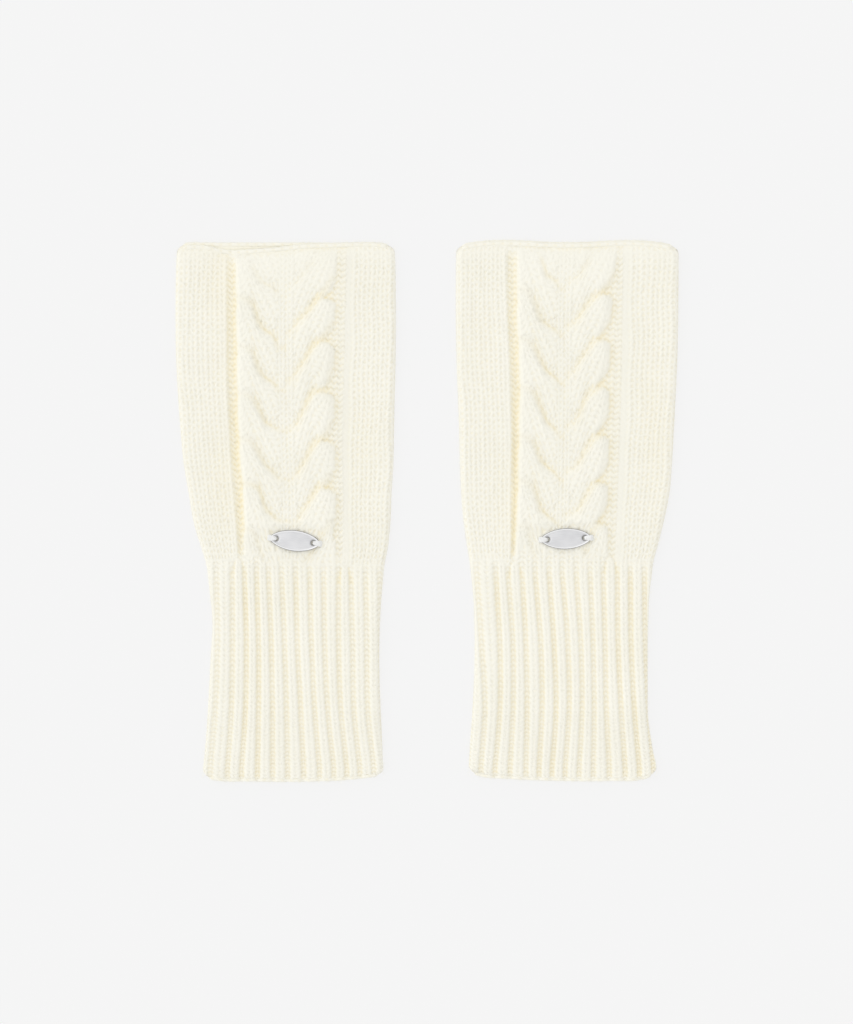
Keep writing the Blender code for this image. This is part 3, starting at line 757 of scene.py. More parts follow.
# The horseshoe cable. Leaf rises are counted in repeats from the outer end of its upper crease.
LEAF_WALES = 3
REPEAT_COURSES = 8
REPEAT = REPEAT_COURSES * COURSE
CABLE_HALF = 20.2
CABLE_SHOULDER = (1.8, 3.6)   # width over which the cable rounds down into either channel
CABLE_RELIEF = 0.85
LEAF = np.array([
    # rise, inner edge, outer edge, height
    (-2.2, 0.0, 9.5, -1.2),
    (-1.8, 0.0, 10.0, -0.6),
    (-1.6, 0.0, 11.0, 0.0),
    (-1.4, 0.0, 13.2, 0.45),
    (-1.2, 0.2, 16.8, 0.85),
    (-1.0, 0.9, 20.2, 1.25),
    (-0.8, 4.2, 20.6, 1.6),
    (-0.6, 8.6, 20.6, 1.8),
    (-0.4, 11.8, 20.6, 1.85),
    (-0.2, 13.7, 20.6, 1.6),
    (0.0, 14.8, 20.4, 0.5),
    (0.2, 15.2, 19.6, -1.5),
    (0.4, 15.2, 19.6, -1.5),
])
# The creases above the leaves, from the lowest up, for the left and the right half of each cable:
# the height at each of the distances from the middle line in CREASE_AT, and the depth beside the
# deepest.
CREASE_AT = np.array([3.0, 6.0, 9.0, 12.0, 15.0, 18.0, 21.0])
CREASES = {
    ("left", -1): np.array([
        (81.0, 89.5, 96.0, 105.5, 111.5, 112.0, 112.0, 0.50),
        (116.0, 118.5, 122.0, 130.0, 132.0, 132.5, 132.5, 0.95),
        (134.5, 138.0, 141.0, 146.0, 150.5, 152.0, 152.5, 0.75),
        (156.0, 158.0, 160.0, 166.0, 170.5, 172.0, 172.5, 0.85),
        (174.0, 177.5, 179.5, 183.5, 190.5, 193.0, 194.0, 0.90),
        (193.0, 198.5, 200.5, 204.5, 212.0, 214.5, 215.5, 1.00),
        (215.5, 219.5, 221.0, 224.0, 229.5, 235.0, 236.5, 0.35),
    ]),
    ("left", 1): np.array([
        (89.5, 94.0, 98.5, 103.0, 108.0, 112.0, 116.0, 0.60),
        (113.5, 116.5, 121.5, 126.5, 131.0, 133.5, 137.0, 0.80),
        (134.5, 137.5, 142.5, 148.5, 152.0, 154.5, 160.0, 0.90),
        (156.5, 160.0, 166.5, 172.5, 174.0, 175.0, 183.0, 0.90),
        (178.5, 183.0, 187.5, 193.0, 196.0, 199.0, 203.5, 1.00),
        (200.0, 204.5, 207.5, 211.5, 215.5, 219.0, 223.5, 0.90),
        (219.5, 222.5, 227.0, 231.5, 235.5, 238.0, 241.0, 0.20),
    ]),
    ("right", -1): np.array([
        (81.0, 84.5, 87.0, 89.5, 100.5, 112.5, 113.5, 0.80),
        (113.5, 116.0, 118.5, 122.0, 130.0, 133.0, 134.0, 0.90),
        (134.0, 137.5, 140.0, 143.5, 150.0, 153.0, 153.5, 1.00),
        (153.5, 157.0, 160.0, 166.5, 172.5, 175.0, 175.5, 1.00),
        (177.0, 180.0, 182.5, 187.5, 193.0, 196.0, 197.0, 1.00),
        (198.5, 201.0, 203.0, 206.0, 213.0, 218.0, 219.0, 0.80),
        (219.0, 223.0, 225.5, 234.0, 238.5, 239.5, 240.5, 0.70),
    ]),
    ("right", 1): np.array([
        (89.5, 96.0, 105.5, 112.5, 115.5, 120.5, 123.0, 0.70),
        (119.0, 122.0, 127.0, 132.0, 134.0, 138.0, 142.5, 0.80),
        (138.5, 142.5, 148.0, 152.5, 155.0, 160.0, 163.5, 0.90),
        (158.5, 164.0, 171.0, 174.0, 176.5, 179.5, 184.0, 0.90),
        (181.5, 187.0, 191.0, 195.5, 197.5, 201.5, 207.5, 0.80),
        (203.0, 207.0, 211.5, 215.0, 217.5, 220.5, 225.5, 0.90),
        (223.0, 225.5, 231.5, 237.5, 240.0, 242.0, 244.5, 0.55),
    ]),
}
# Depth of the deepest crease at those distances, and its half width, for the left and the right
# half.
CREASE_DEPTH = {
    -1: np.array([0.20, 0.35, 0.42, 0.38, 0.24, 0.12, 0.08]),
    1: np.array([0.25, 0.45, 0.50, 0.80, 0.95, 0.60, 0.30]),
}
CREASE_WIDTH = {
    -1: np.array([1.2, 1.0, 0.9, 1.1, 1.4, 1.6, 1.6]),
    1: np.array([2.0, 2.0, 1.8, 1.6, 1.5, 1.5, 1.5]),
}
CREASE_PAINTED_SHADE = {-1: 1.00, 1: 0.45}     # painted shade: how much yellower the bottom of a crease 1 mm deep is made, for light bouncing in the wool
# At the outer end of each crease the cable's edge draws in, and a wedge of the channel opens there.
NOTCH = {-1: 0.6, 1: 6.0}             # how far in its point lies
NOTCH_AT = 15.0                       # distance from the middle line where crease meets point
NOTCH_UNDER = 0.8                     # how far under the crease the point lies
NOTCH_ABOVE, NOTCH_BELOW = 11.0, 3.0  # how far up and down from its point the edge is drawn in
LEAF_CROWN = 1.3         # how far the middle of a leaf is rounded up over its edges
LEAF_BLEND = {-1: 0.9, 1: 0.5}        # how softly one leaf runs into the next, in each half
LEAF_FLOOR = 1.25        # no part of the cable sinks further than this between leaf and spine
LEAF_MEAN = 1.75         # level that the leaves flatten to at the rim and under the tag
SPINE_HALF, SPINE_TOP, SPINE_WALE = 2.0, 1.7, 3.3    # its half width, its height and its wale
SPINE_SLOPE, SPINE_FALL = 2.4, 3.0    # width of the slope at its side, and how far that goes down


def crease_lines(side, half, x):
    """Height of each crease at x, with one more below the lowest and one above the highest."""
    lines = np.stack([curve(CREASE_AT, row[:-1], np.abs(x)) for row in CREASES[side, half]])
    return np.concatenate([lines[:1] - REPEAT, lines, lines[-1:] + REPEAT])


# Where the leaves of the table would cross, which is moved to the crease of each half: distance
# from the middle line, rise.
CROSSING = np.array([
    (2.0, -0.95), (4.2, -0.83), (8.6, -0.62), (11.0, -0.53), (13.2, -0.38), (16.8, -0.18),
    (20.2, 0.0),
])


def soft_max(a, b, width):
    """The higher of two heights, with the corner where they cross rounded off."""
    return 0.5 * (a + b + np.sqrt((a - b) ** 2 + width**2))


def cable(side, half, x, offset, height):
    """The cable over the plain knit, at an offset from its middle: the higher of two leaves, or the
    spine between them. Gives its height, and the wale and course that run along the leaf.
    """
    lines = crease_lines(side, half, x)
    row = np.clip((lines <= height).sum(axis=0) - 1, 0, len(lines) - 2)[None]
    low, high = (np.take_along_axis(lines, row + n, 0)[0] for n in (0, 1))
    turn = row[0] - 1 + (height - low) / (high - low)
    even = (height - FIRST_COURSE) / REPEAT
    level = mix(even, turn + column(CROSSING, 1, offset), smooth((offset - 1) / 3))
    level = level - np.ceil(level)
    inner_part = smooth((13 - offset) / 6) if half > 0 else smooth((7 - offset) / 4)
    best = np.full(offset.shape, LEAF_FLOOR)
    wale = offset / SPINE_WALE
    course = course_of(height)
    for below in (0, 1):
        rise = level - below
        inner, outer, base = (column(LEAF, c, rise) for c in (1, 2, 3))
        further = 0.05
        later = sum(column(LEAF, c, rise + further) for c in (1, 2)) / 2
        middle = (inner + outer) / 2
        lean = (later - middle) / (further * REPEAT)
        across = 2 * (offset - inner) / (outer - inner) - 1
        crown = LEAF_CROWN * np.sqrt(np.clip(1 - np.abs(across) ** 2.5, 0, 1))
        leaf = np.where(np.abs(across) < 1, base + crown, base - 4 * (np.abs(across) - 1))
        wins = leaf > best
        best = soft_max(best, leaf, mix(LEAF_BLEND[half], 0.9, inner_part))
        wale = np.where(wins, (across + 1) / 2 * LEAF_WALES + LEAF_WALES * below, wale)
        up_leaf = rise + lean * (offset - middle) / (1 + lean**2) / REPEAT
        course = np.where(wins, REPEAT_COURSES * up_leaf, course)
    spine = SPINE_TOP - SPINE_FALL * np.clip((offset - SPINE_HALF) / SPINE_SLOPE, 0, 1) ** 2
    on_spine = offset < SPINE_WALE
    wale = np.where(on_spine, offset / SPINE_WALE, wale)
    course = np.where(on_spine, course_of(height), course)
    return CABLE_RELIEF * soft_max(best, spine, 0.4), wale, course


def crease(side, half, x, height):
    """Depth of the creases between the leaves at a point."""
    step = 0.2
    near, far = (crease_lines(side, half, np.abs(x) + move)[1:-1] for move in (-step, step))
    away = (height - (near + far) / 2) / np.sqrt(1 + ((far - near) / (2 * step)) ** 2)
    share = CREASES[side, half][:, -1][:, None, None]
    width = curve(CREASE_AT, CREASE_WIDTH[half], np.abs(x))
    folds = (share * np.exp(-(away / width) ** 2)).max(axis=0)
    return folds * curve(CREASE_AT, CREASE_DEPTH[half], np.abs(x))


def notch(side, half, height):
    """How far the edge of the cable draws in at a height."""
    points = crease_lines(side, half, np.full(height.shape, NOTCH_AT)) - NOTCH_UNDER
    above = np.clip((height - points) / NOTCH_ABOVE, 0, 1)
    below = np.clip((points - height) / NOTCH_BELOW, 0, 1)
    drawn = np.where(height > points, 1 - np.sin(above * math.pi / 2), 1 - below**0.35)
    return NOTCH[half] * drawn.max(axis=0)


def hand_surface(side, lie):
    """Height of the hand part's front over the table, its stitches, their ply, and its painted
    shade.
    """
    x, height, spread = lie.x, lie.height, lie.spread
    outer_l, inner_l, inner_r, outer_r = (column(CHANNELS[side], c, height) for c in (1, 2, 3, 4))
    middle = (inner_l + inner_r) / 2
    offset = np.abs(x - middle) * CABLE_HALF / ((inner_r - inner_l) / 2)
    on_left = x < middle
    # The cable grows out of the ribbing, and its leaves flatten towards the rim and at its foot.
    growth = 0.3 + 0.7 * smooth((height - SEAM) / GROWTH)
    growth = growth * (0.5 + 0.5 * smooth(lie.from_opening / 12))
    crispness = smooth((height - SEAM - 5) / GROWTH) * smooth((lie.from_opening - 3) / FADE)
    creased = smooth((height - SEAM + 3) / 5) * smooth((lie.from_opening - 2) / 8)
    halves = [(*cable(side, half, x, offset, height), crease(side, half, x, height),
               notch(side, half, height)) for half in (-1, 1)]
    leaves, leaf_wale, leaf_course, folded, drawn_in = (
        np.where(on_left, of_left, of_right) for of_left, of_right in zip(*halves))
    folded = folded * creased
    raised = KNIT_TOP + growth * mix(LEAF_MEAN, leaves, crispness) - folded
    edge = CABLE_HALF + 0.5 - crispness * drawn_in

    # The cable rounds down into the purl channel on either side. The floor rises at both ends.
    rounding = np.clip((offset - edge) / np.where(on_left, *CABLE_SHOULDER) + 1, 0, 1)
    over_channel = np.where(on_left, (x - outer_l) / (inner_l - outer_l),
                            (x - inner_r) / (outer_r - inner_r))
    floors = [column(CHANNEL_FLOOR[side], c, height) for c in (1, 2)]
    floor = np.where(on_left, *floors) + np.where(on_left, *PURL_TILT) * smooth(over_channel)
    at_seam = 1 - smooth((height - SEAM) / 5)
    at_rim = 1 - smooth((lie.from_opening - 1) / 6)
    floor = mix(floor, KNIT_TOP + 0.2, 0.2 * at_seam + 0.7 * at_rim)
    raised = mix(floor, raised, np.sqrt(np.clip(1 - rounding**2, 0, 1)))

    # Beyond the channels the plain panels stand up in a roll and run level to the sides.
    beyond = np.maximum(outer_l - x, x - outer_r)
    bank = np.where(on_left, *CHANNEL_BANK)
    rolled = KNIT_TOP + np.where(on_left, *EDGE_ROLL) * np.exp(-np.maximum(beyond, 0) / 3)
    rolled = rolled - slack(FRONT_SLACK[side], x, height)
    panel = mix(floor, rolled, smooth(beyond / bank + 0.5))
    in_cable = offset < edge
    on_panel = beyond > -bank / 2
    z = blurred(np.where(in_cable, raised, np.where(on_panel, panel, floor)), 1)

    # The stitches: plain on the cable and the panels, purl in the channels. Numbers added to the
    # wales keep the areas apart in the table of uneven stitches.
    wales_l, wales_r = PANEL_WALES[side]
    wide_l = outer_l - lie.x[:, :1] + FOLD_ARC - FOLD_ACROSS
    wide_r = lie.x[:, -1:] - outer_r + FOLD_ARC - FOLD_ACROSS
    panel_wale = np.where(on_left, (outer_l - spread) / wide_l * wales_l + 10,
                          (spread - outer_r) / wide_r * wales_r + 20)
    panel_wale = panel_wale + 0.09 * drift(x, height, 30.0, 8)
    course = course_of(height) + 0.10 * drift(x, height, 40.0, 9)
    plain, plain_ply = plain_stitch(
        np.where(in_cable, leaf_wale + np.where(on_left, 0, 33), panel_wale),
        np.where(in_cable, leaf_course, course))
    purl, purl_ply = purl_stitch(over_channel * 2 + 40, course + 0.25 * over_channel)
    is_purl = ~in_cable & ~on_panel
    flatter, far, soon = FLATTER
    relief = np.where(on_left, 1, 1 - flatter * (1 - smooth((beyond - far) / soon)))
    plain = STITCH_MEAN + np.where(in_cable, CABLE_STITCH, relief) * (plain - STITCH_MEAN)
    stitch = np.where(is_purl, STITCH_MEAN + PURL_RELIEF * (purl - STITCH_MEAN), plain)
    calm = np.where(in_cable, *RIM_CALM)
    relief = mix(RIM_RELIEF, 1, smooth((lie.from_opening - 1) / calm))
    stitch = STITCH_MEAN + (stitch - STITCH_MEAN) * relief
    ply = np.where(is_purl[..., None], purl_ply, plain_ply)
    # Painted shade: yellower in the cable's creases and the right channel, and darker where the
    # front lies lower.
    front_painted_shade = np.where(on_left, CREASE_PAINTED_SHADE[-1], CREASE_PAINTED_SHADE[1]) * folded * in_cable
    front_painted_shade = front_painted_shade + RIGHT_CHANNEL_PAINTED_SHADE * (is_purl & ~on_left)
    front_painted_shade = front_painted_shade + SLACK_PAINTED_SHADE * slack(FRONT_SLACK[side], x, height) * on_panel
    return z, stitch, ply, front_painted_shade


RIB_TOP, RIB_FLOOR = 4.75, 3.85         # crown of a rib and floor of a channel on the front
RIB_ENDS = {"left": 0.9, "right": 0.5}  # share of a channel's depth left at the cuff's edge


def cuff_surface(side, lie):
    """Height of the cuff's front over the table, its stitches, and their ply."""
    form, stitch, ply = ribbing(side, lie)
    deep = 0.12 + 0.88 * smooth((SEAM + 4 - lie.height) / 14)
    if not lie.at_hand:
        deep = deep * mix(RIB_ENDS[side], 1, smooth(lie.from_opening / 2.5))
    deep = deep * (1 + 0.10 * drift(lie.x, lie.height * 0.3, 9.0, 12))
    z = RIB_TOP - (RIB_TOP - RIB_FLOOR) * deep * (1 - form)
    return z - slack(FRONT_SLACK[side], lie.x, lie.height), stitch, ply


# The tag presses a shallow hollow into the knit under it.
TAG_LONG, TAG_WIDE = 22.6, 9.2
TAG_UNDER = 5.75         # height of its underside over the table
TAG_CLEAR = 0.35         # how far under it the cloth lies, before its stitches
TAG_PRESS, TAG_SLOPE = 1.1, 0.8       # reach of the hollow, and of its slope, in half tags
# Height at which each channel of the ribbing begins under the hand part.
RIB_STARTS = {
    "left": (97.6, 99.0, 99.8, 101.0, 96.8, 97.6, 98.9, 97.4, 96.2, 99.0, 96.4, 96.6),
    "right": (99.0, 99.5, 96.6, 104.0, 100.2, 102.2, 104.2, 101.8, 99.4, 100.8, 98.6, 97.8),
}
RIBS_END = 7.0           # length over which the ribbing runs into the hand part
# Under each channel of the hand part a rib begins in a point and parts the channel in two: x,
# height.
RIB_POINTS = {"left": ((-20.95, 99.9), (26.3, 96.8)), "right": ((-23.1, 99.3), (19.2, 101.0))}
RIB_POINT_LONG = 8.0     # length and half width of the two short channels, and their depth
RIB_POINT_HALF = 2.8
RIB_POINT_DEPTH = 0.45
FRONT_SWELL = 0.22       # how far the cloth of the front rises and sinks slowly from place to place


def rib_points(side, lie):
    """Depth of the two short channels that run down from each point."""
    depth = np.zeros(lie.x.shape)
    for x, height in RIB_POINTS[side]:
        down = (height - lie.height) / RIB_POINT_LONG
        away = np.abs(lie.x - x) - RIB_POINT_HALF * np.sqrt(np.clip(down, 0, 1))
        reach = smooth(down * 4 + 0.4) * smooth((1.25 - down) * 3)
        depth = np.maximum(depth, RIB_POINT_DEPTH * reach * np.exp(-((away / 0.8) ** 2)))
    return depth


def front_surface(side, lie):
    """Hand part and cuff run into each other over a few courses, and the tag presses a dip."""
    begins = np.interp(lie.x, RIBS[side][:, 3], RIB_STARTS[side])
    above = smooth((lie.height - begins) / RIBS_END + 0.5)
    hand, hand_stitch, hand_ply, patch_tone_and_painted_shade = hand_surface(side, lie)
    cuff, cuff_stitch, cuff_ply = cuff_surface(side, lie)
    z = mix(cuff, hand, above) - rib_points(side, lie)
    stitch = mix(cuff_stitch, hand_stitch, above)
    ply = np.where((above > 0.5)[..., None], hand_ply, cuff_ply)
    slow = drift(lie.x, lie.height, 34.0, 5 if side == "left" else 6)
    z = z + FRONT_SWELL * slow * smooth(lie.fold * 2)
    dip_x, dip_height, depth = DIPS[side]
    wide, long = DIP_HALF
    away = ((lie.x - dip_x) / wide) ** 2 + ((lie.height - dip_height) / long) ** 2
    z = z - depth * np.exp(-away)
    if lie.at_hand:
        z = mix(np.minimum(z, RIM_LEVEL), z, smooth(lie.from_opening / RIM_REACH))
    z = np.maximum(z, FRONT_UNDER + FRONT_THIN)
    tag_x, tag_height, _ = TAG_AT[side]
    away = np.hypot((lie.x - tag_x) / (TAG_LONG / 2), (lie.height - tag_height) / (TAG_WIDE / 2))
    pressed = np.minimum(z, TAG_UNDER - TAG_CLEAR)
    z = mix(pressed, z, smooth((away - TAG_PRESS) / TAG_SLOPE))
    return z, stitch, ply, patch_tone_and_painted_shade * above


beside_rim = {}          # each front wall's points a little way in from its rim, for its chain


def inside_hand_front(side):
    """Height of the inner face of a front, which lifts where the mouth is open."""
    return lambda x, height: FRONT_UNDER + MOUTH_LIFT * gape(side, x, height)


for side in PAIR:
    lie = Lie(side, TOP, RIMS[side], 1, FRONT_STEP)
    z, stitch, ply, patch_tone_and_painted_shade = front_surface(side, lie)
    opened = gape(side, lie.x, lie.height)
    z = z + MOUTH_LIFT * opened
    level = FOLD_LEVEL + (FRONT_UNDER + FRONT_THIN - FOLD_LEVEL + MOUTH_LIFT) * opened
    points = lie.points(z, level, STITCH_DEPTH * (stitch - STITCH_MEAN))
    beside_rim[side, "hand"] = points[lie.rim]
    # Painted shade in the crevices, with that of the creases, the right channel and the low places.
    shade = painted_crevice_shade(z + STITCH_DEPTH * stitch, FRONT_STEP) + patch_tone_and_painted_shade
    piece = knit_piece(f"{side}_front_of_hand", side, points, ply, shade, inside_hand_front(side),
                       wool)
    declare(piece, side, f"{side}_hand_front", SEAM, TOP)

# --------------------------------------------------------------------------------------------------
# The front of each cuff. Thirteen plain wales stand up as ribs, with a purl wale sunk between each
# two. Its last course runs on into the hand part.

for side in PAIR:
    lie = Lie(side, 0.0, HEMS[side], 1, FRONT_STEP)
    z, stitch, ply, patch_tone_and_painted_shade = front_surface(side, lie)
    level = np.full(z.shape, FOLD_LEVEL)
    points = lie.points(z, level, STITCH_DEPTH * (stitch - STITCH_MEAN))
    beside_rim[side, "cuff"] = points[lie.rim]
    # Painted shade in the crevices, with that carried over from the hand part.
    shade = painted_crevice_shade(z + STITCH_DEPTH * stitch, FRONT_STEP) + patch_tone_and_painted_shade
    piece = knit_piece(f"{side}_front_of_cuff", side, points, ply, shade, level_inside(FRONT_UNDER),
                       wool)
    declare(piece, side, f"{side}_cuff_front", 0.0, SEAM)

# --------------------------------------------------------------------------------------------------
# The edges. The hand opening is cast off and the cuff is cast on, which leaves a chain of the same
# wool along each rim. It is knitted to the walls, so it lies half sunk in them.

CHAIN_LONG = 3.9         # length of one link, the breadth of a stitch
CHAIN_SIDES = 14         # points round a chain, and their spacing along it
CHAIN_STEP = 0.42
CHAIN_ENDS = 2.6         # how far in from a side a chain ends, where it goes round the fold
CHAIN_TAPER = 1.6        # length over which it thins to its end
CHAIN_RELIEF = 0.34      # how far the links stand out, in shares of its thickness
CHAIN_SUNK = {"hand": 0.8, "cuff": 1.25}   # how far a chain's middle lies below the wall beside it
# Each chain: opening, column of its rim, half breadth, half thickness.
CHAINS = {
    "cast_off_front": ("hand", 1, 1.15, 0.95),
    "cast_off_back": ("hand", 2, 1.15, 0.90),
    "cast_on_front": ("cuff", 1, 0.95, 0.90),
    "cast_on_back": ("cuff", 1, 1.00, 0.95),
}
BACK_CHAIN = 1.5         # height of the middle of a back wall's chain


def edge_chain(side, name, opening, rim_column, half_wide, half_thick):
    """A row of links along one rim: a tube whose two sides are two wales of plain stitches."""
    rim, end, inward = (RIMS[side], TOP, -1) if opening == "hand" else (HEMS[side], 0.0, 1)
    low, high = (float(column(OUTLINE[side], c, end)) for c in (1, 2))
    x = np.arange(low + CHAIN_ENDS, high - CHAIN_ENDS, CHAIN_STEP)
    to_side = np.minimum(x - low, high - x)
    height = column(rim, rim_column, x) + inward * (half_wide + corner(to_side))
    z = np.full(x.shape, BACK_CHAIN)
    if name.endswith("front"):
        wall = beside_rim[side, opening]
        even = np.convolve(np.interp(x, wall[:, 0], wall[:, 2]), np.ones(5) / 5, mode="same")
        z = np.clip(even, FRONT_UNDER + 0.9, None) - CHAIN_SUNK[opening]
    turn = np.linspace(0, 2 * math.pi, CHAIN_SIDES, endpoint=False)
    along = np.repeat((x / CHAIN_LONG + 50)[:, None], CHAIN_SIDES, axis=1)
    around = np.repeat((turn / (2 * math.pi) * 2)[None, :], len(x), axis=0)
    link, ply = plain_stitch(around, along)
    taper = np.sqrt(np.clip(np.minimum(x - x[0], x[-1] - x) / CHAIN_TAPER, 0.0, 1.0))
    swell = (1 + CHAIN_RELIEF * (link - 0.75)) * (0.35 + 0.65 * taper)[:, None]
    y = height[:, None] + half_wide * swell * np.cos(turn)
    z = np.maximum(z[:, None] + half_thick * swell * np.sin(turn), 0.03)
    across, up = middle_of(side)
    points = np.stack([np.repeat(x[:, None], CHAIN_SIDES, axis=1) + across, y + up, z], axis=-1)
    number = np.arange(len(x) * CHAIN_SIDES).reshape(len(x), CHAIN_SIDES)
    after = np.roll(number, -1, axis=1)
    round_it = np.stack([number[:-1], number[1:], after[1:], after[:-1]], axis=-1)
    faces = round_it.reshape(-1, 4).tolist()
    faces += [number[0].tolist(), number[-1, ::-1].tolist()]
    # Painted shade between the links of each chain.
    shade = np.clip(0.3 * (0.8 - link), 0, 0.3).ravel()
    return make_piece(f"{side}_{name}", points.reshape(-1, 3), faces, wool,
                      ("yarn", ply.reshape(-1, 2)), ("painted_shade", shade))


for side in PAIR:
    for name, sizes in CHAINS.items():
        chain = edge_chain(side, name, *sizes)
        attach(chain, "root")

# --------------------------------------------------------------------------------------------------
# The tags. Each is an oval plate cut from thin steel, with drawn-in tips and a hole near each tip.
# Its rim is left a little proud of the slightly domed face, which is brushed along its length.

TAG_THICK = 0.8
TAG_HOLE, TAG_HOLE_APART = 1.0, 16.5  # radius of a hole, and distance from one hole to the other
# Rings of points round the rim, from the outside in, and then round each hole: how far in or out
# from the cut, fall from the top, and edge, the painted light: 1 for painted shade where the steel
# is cut, less of it round the holes, and -1 for a painted highlight where it is polished.
TAG_RIM = (
    (0.0, -0.2, 1.0), (0.16, -0.08, 0.7), (0.32, 0.0, -1.0), (0.56, 0.0, -1.0), (0.78, -0.12, 0.0),
)
TAG_HOLE_RIM = ((0.0, -0.3, 1.0), (0.28, -0.13, 0.5))
TAG_POINTS, TAG_HOLE_POINTS = 88, 28  # points in a ring round the rim, and round a hole
TAG_PINCH, TAG_TIP = 1.9, 0.62        # the powers that give the oval its drawn-in tips
TAG_FACE = 1.1                        # the points of the face begin this far in from the rim
TAG_GRID = 0.6                        # and are this far apart
TAG_DOME, TAG_SUNK = 0.1, 0.12        # rise of the face in the middle, and its fall inside the rim
TAG_CREASE = math.radians(50)         # an edge sharper than this stays hard


def half_breadth(x, inset):
    """Half the tag's breadth at a distance from its middle, with an inset from its outline."""
    share = np.clip(np.abs(x) / (TAG_LONG / 2 - inset), 0, 1)
    return (TAG_WIDE / 2 - inset) * (1 - share**TAG_PINCH) ** TAG_TIP


def tag_ring(inset):
    turn = np.linspace(0, 2 * math.pi, TAG_POINTS, endpoint=False)
    x = (TAG_LONG / 2 - inset) * np.cos(turn)
    return np.stack([x, np.sign(np.sin(turn)) * half_breadth(x, inset)], axis=1)


def from_holes(points):
    """How far each point lies from the middle of the nearer hole."""
    middles = (-TAG_HOLE_APART / 2, TAG_HOLE_APART / 2)
    return np.min([np.hypot(points[:, 0] - x, points[:, 1]) for x in middles], axis=0)


def tag_face():
    """Points in a grid over the face, inside its rim and clear of both holes."""
    columns, rows = np.arange(-10.2, 10.3, TAG_GRID), np.arange(-3.6, 3.7, TAG_GRID)
    face = np.array([(x, y) for x in columns for y in rows])
    inside = np.abs(face[:, 1]) < half_breadth(face[:, 0], TAG_FACE)
    return face[inside & (from_holes(face) > TAG_HOLE + 0.5)]


def on_tag(side, points):
    """Points laid out about a tag's own middle, moved and turned to where the tag lies."""
    x, height, tilt = TAG_AT[side]
    c, s = math.cos(math.radians(tilt)), math.sin(math.radians(tilt))
    across, up = middle_of(side)
    return np.column_stack([
        points[:, 0] * c - points[:, 1] * s + x + across,
        points[:, 0] * s + points[:, 1] * c + height + up,
        points[:, 2],
    ])


def tag_plate(side, finish):
    """The plate. Its top is filled between its rings and round the holes. Its underside is flat."""
    turn = np.linspace(0, 2 * math.pi, TAG_HOLE_POINTS, endpoint=False)
    rings = [(tag_ring(inset), fall, painted_rim_light) for inset, fall, painted_rim_light in TAG_RIM]
    for end in (-1, 1):
        for outset, fall, painted_rim_light in TAG_HOLE_RIM:
            radius = TAG_HOLE + outset
            ring = [end * TAG_HOLE_APART / 2 + radius * np.cos(turn), radius * np.sin(turn)]
            rings.append((np.stack(ring, axis=1), fall, painted_rim_light))
    loops = []
    first = 0
    for ring, _, _ in rings:
        loops.append(range(first, first + len(ring)))
        first += len(ring)
    edges = [pair for loop in loops for pair in zip(loop, [*loop[1:], loop[0]])]
    face = tag_face()
    domed = 1 - (face[:, 0] / (TAG_LONG / 2)) ** 2 - (face[:, 1] / (TAG_WIDE / 2)) ** 2
    flat = np.concatenate([*(ring for ring, _, _ in rings), face])
    falls = np.concatenate([*(np.full(len(ring), fall) for ring, fall, _ in rings),
                            TAG_DOME * domed - TAG_SUNK])
    filled = delaunay_2d_cdt([Vector(p) for p in flat], edges, [loops[0]], 1, 1e-5)
    top = [[filled[3][i][0] for i in corners] for corners in filled[2]]
    middles = np.array([flat[corners].mean(axis=0) for corners in top])
    top = [corners for corners, away in zip(top, from_holes(middles)) if away >= TAG_HOLE * 0.99]

    total = len(flat)
    faces = top + [[total + n for n in corners[::-1]] for corners in top]
    cuts = [loops[0], loops[len(TAG_RIM)], loops[len(TAG_RIM) + len(TAG_HOLE_RIM)]]
    for loop in cuts:
        for n, after in zip(loop, [*loop[1:], loop[0]]):
            faces.append([n, after, total + after, total + n])
    upper = np.column_stack([flat, TAG_UNDER + TAG_THICK + falls])
    under = np.column_stack([flat, np.full(total, TAG_UNDER)])
    points = np.concatenate([upper, under])
    # Painted light for each point: painted shade on the cut edges, the underside and round the
    # holes, a painted highlight on the polished rim.
    edge = np.concatenate([*(np.full(len(ring), painted_rim_light) for ring, _, painted_rim_light in rings),
                           np.zeros(len(face)), np.ones(total)])
    return make_piece(f"{side}_steel_tag", on_tag(side, points), faces, finish,
                      ("length", points[:, :2] / 10), ("edge", edge), hard_angle=TAG_CREASE)


STEEL_DULL, STEEL_BRIGHT = (0.60, 0.60, 0.62, 1.0), (0.81, 0.81, 0.82, 1.0)   # along the brushing
# Painted highlight on the polished rim, and painted shade on the cut edges and round the holes:
STEEL_POLISH_HIGHLIGHT = (0.97, 0.97, 0.97, 1.0)
STEEL_PAINTED_SHADE = (0.22, 0.215, 0.21, 1.0)


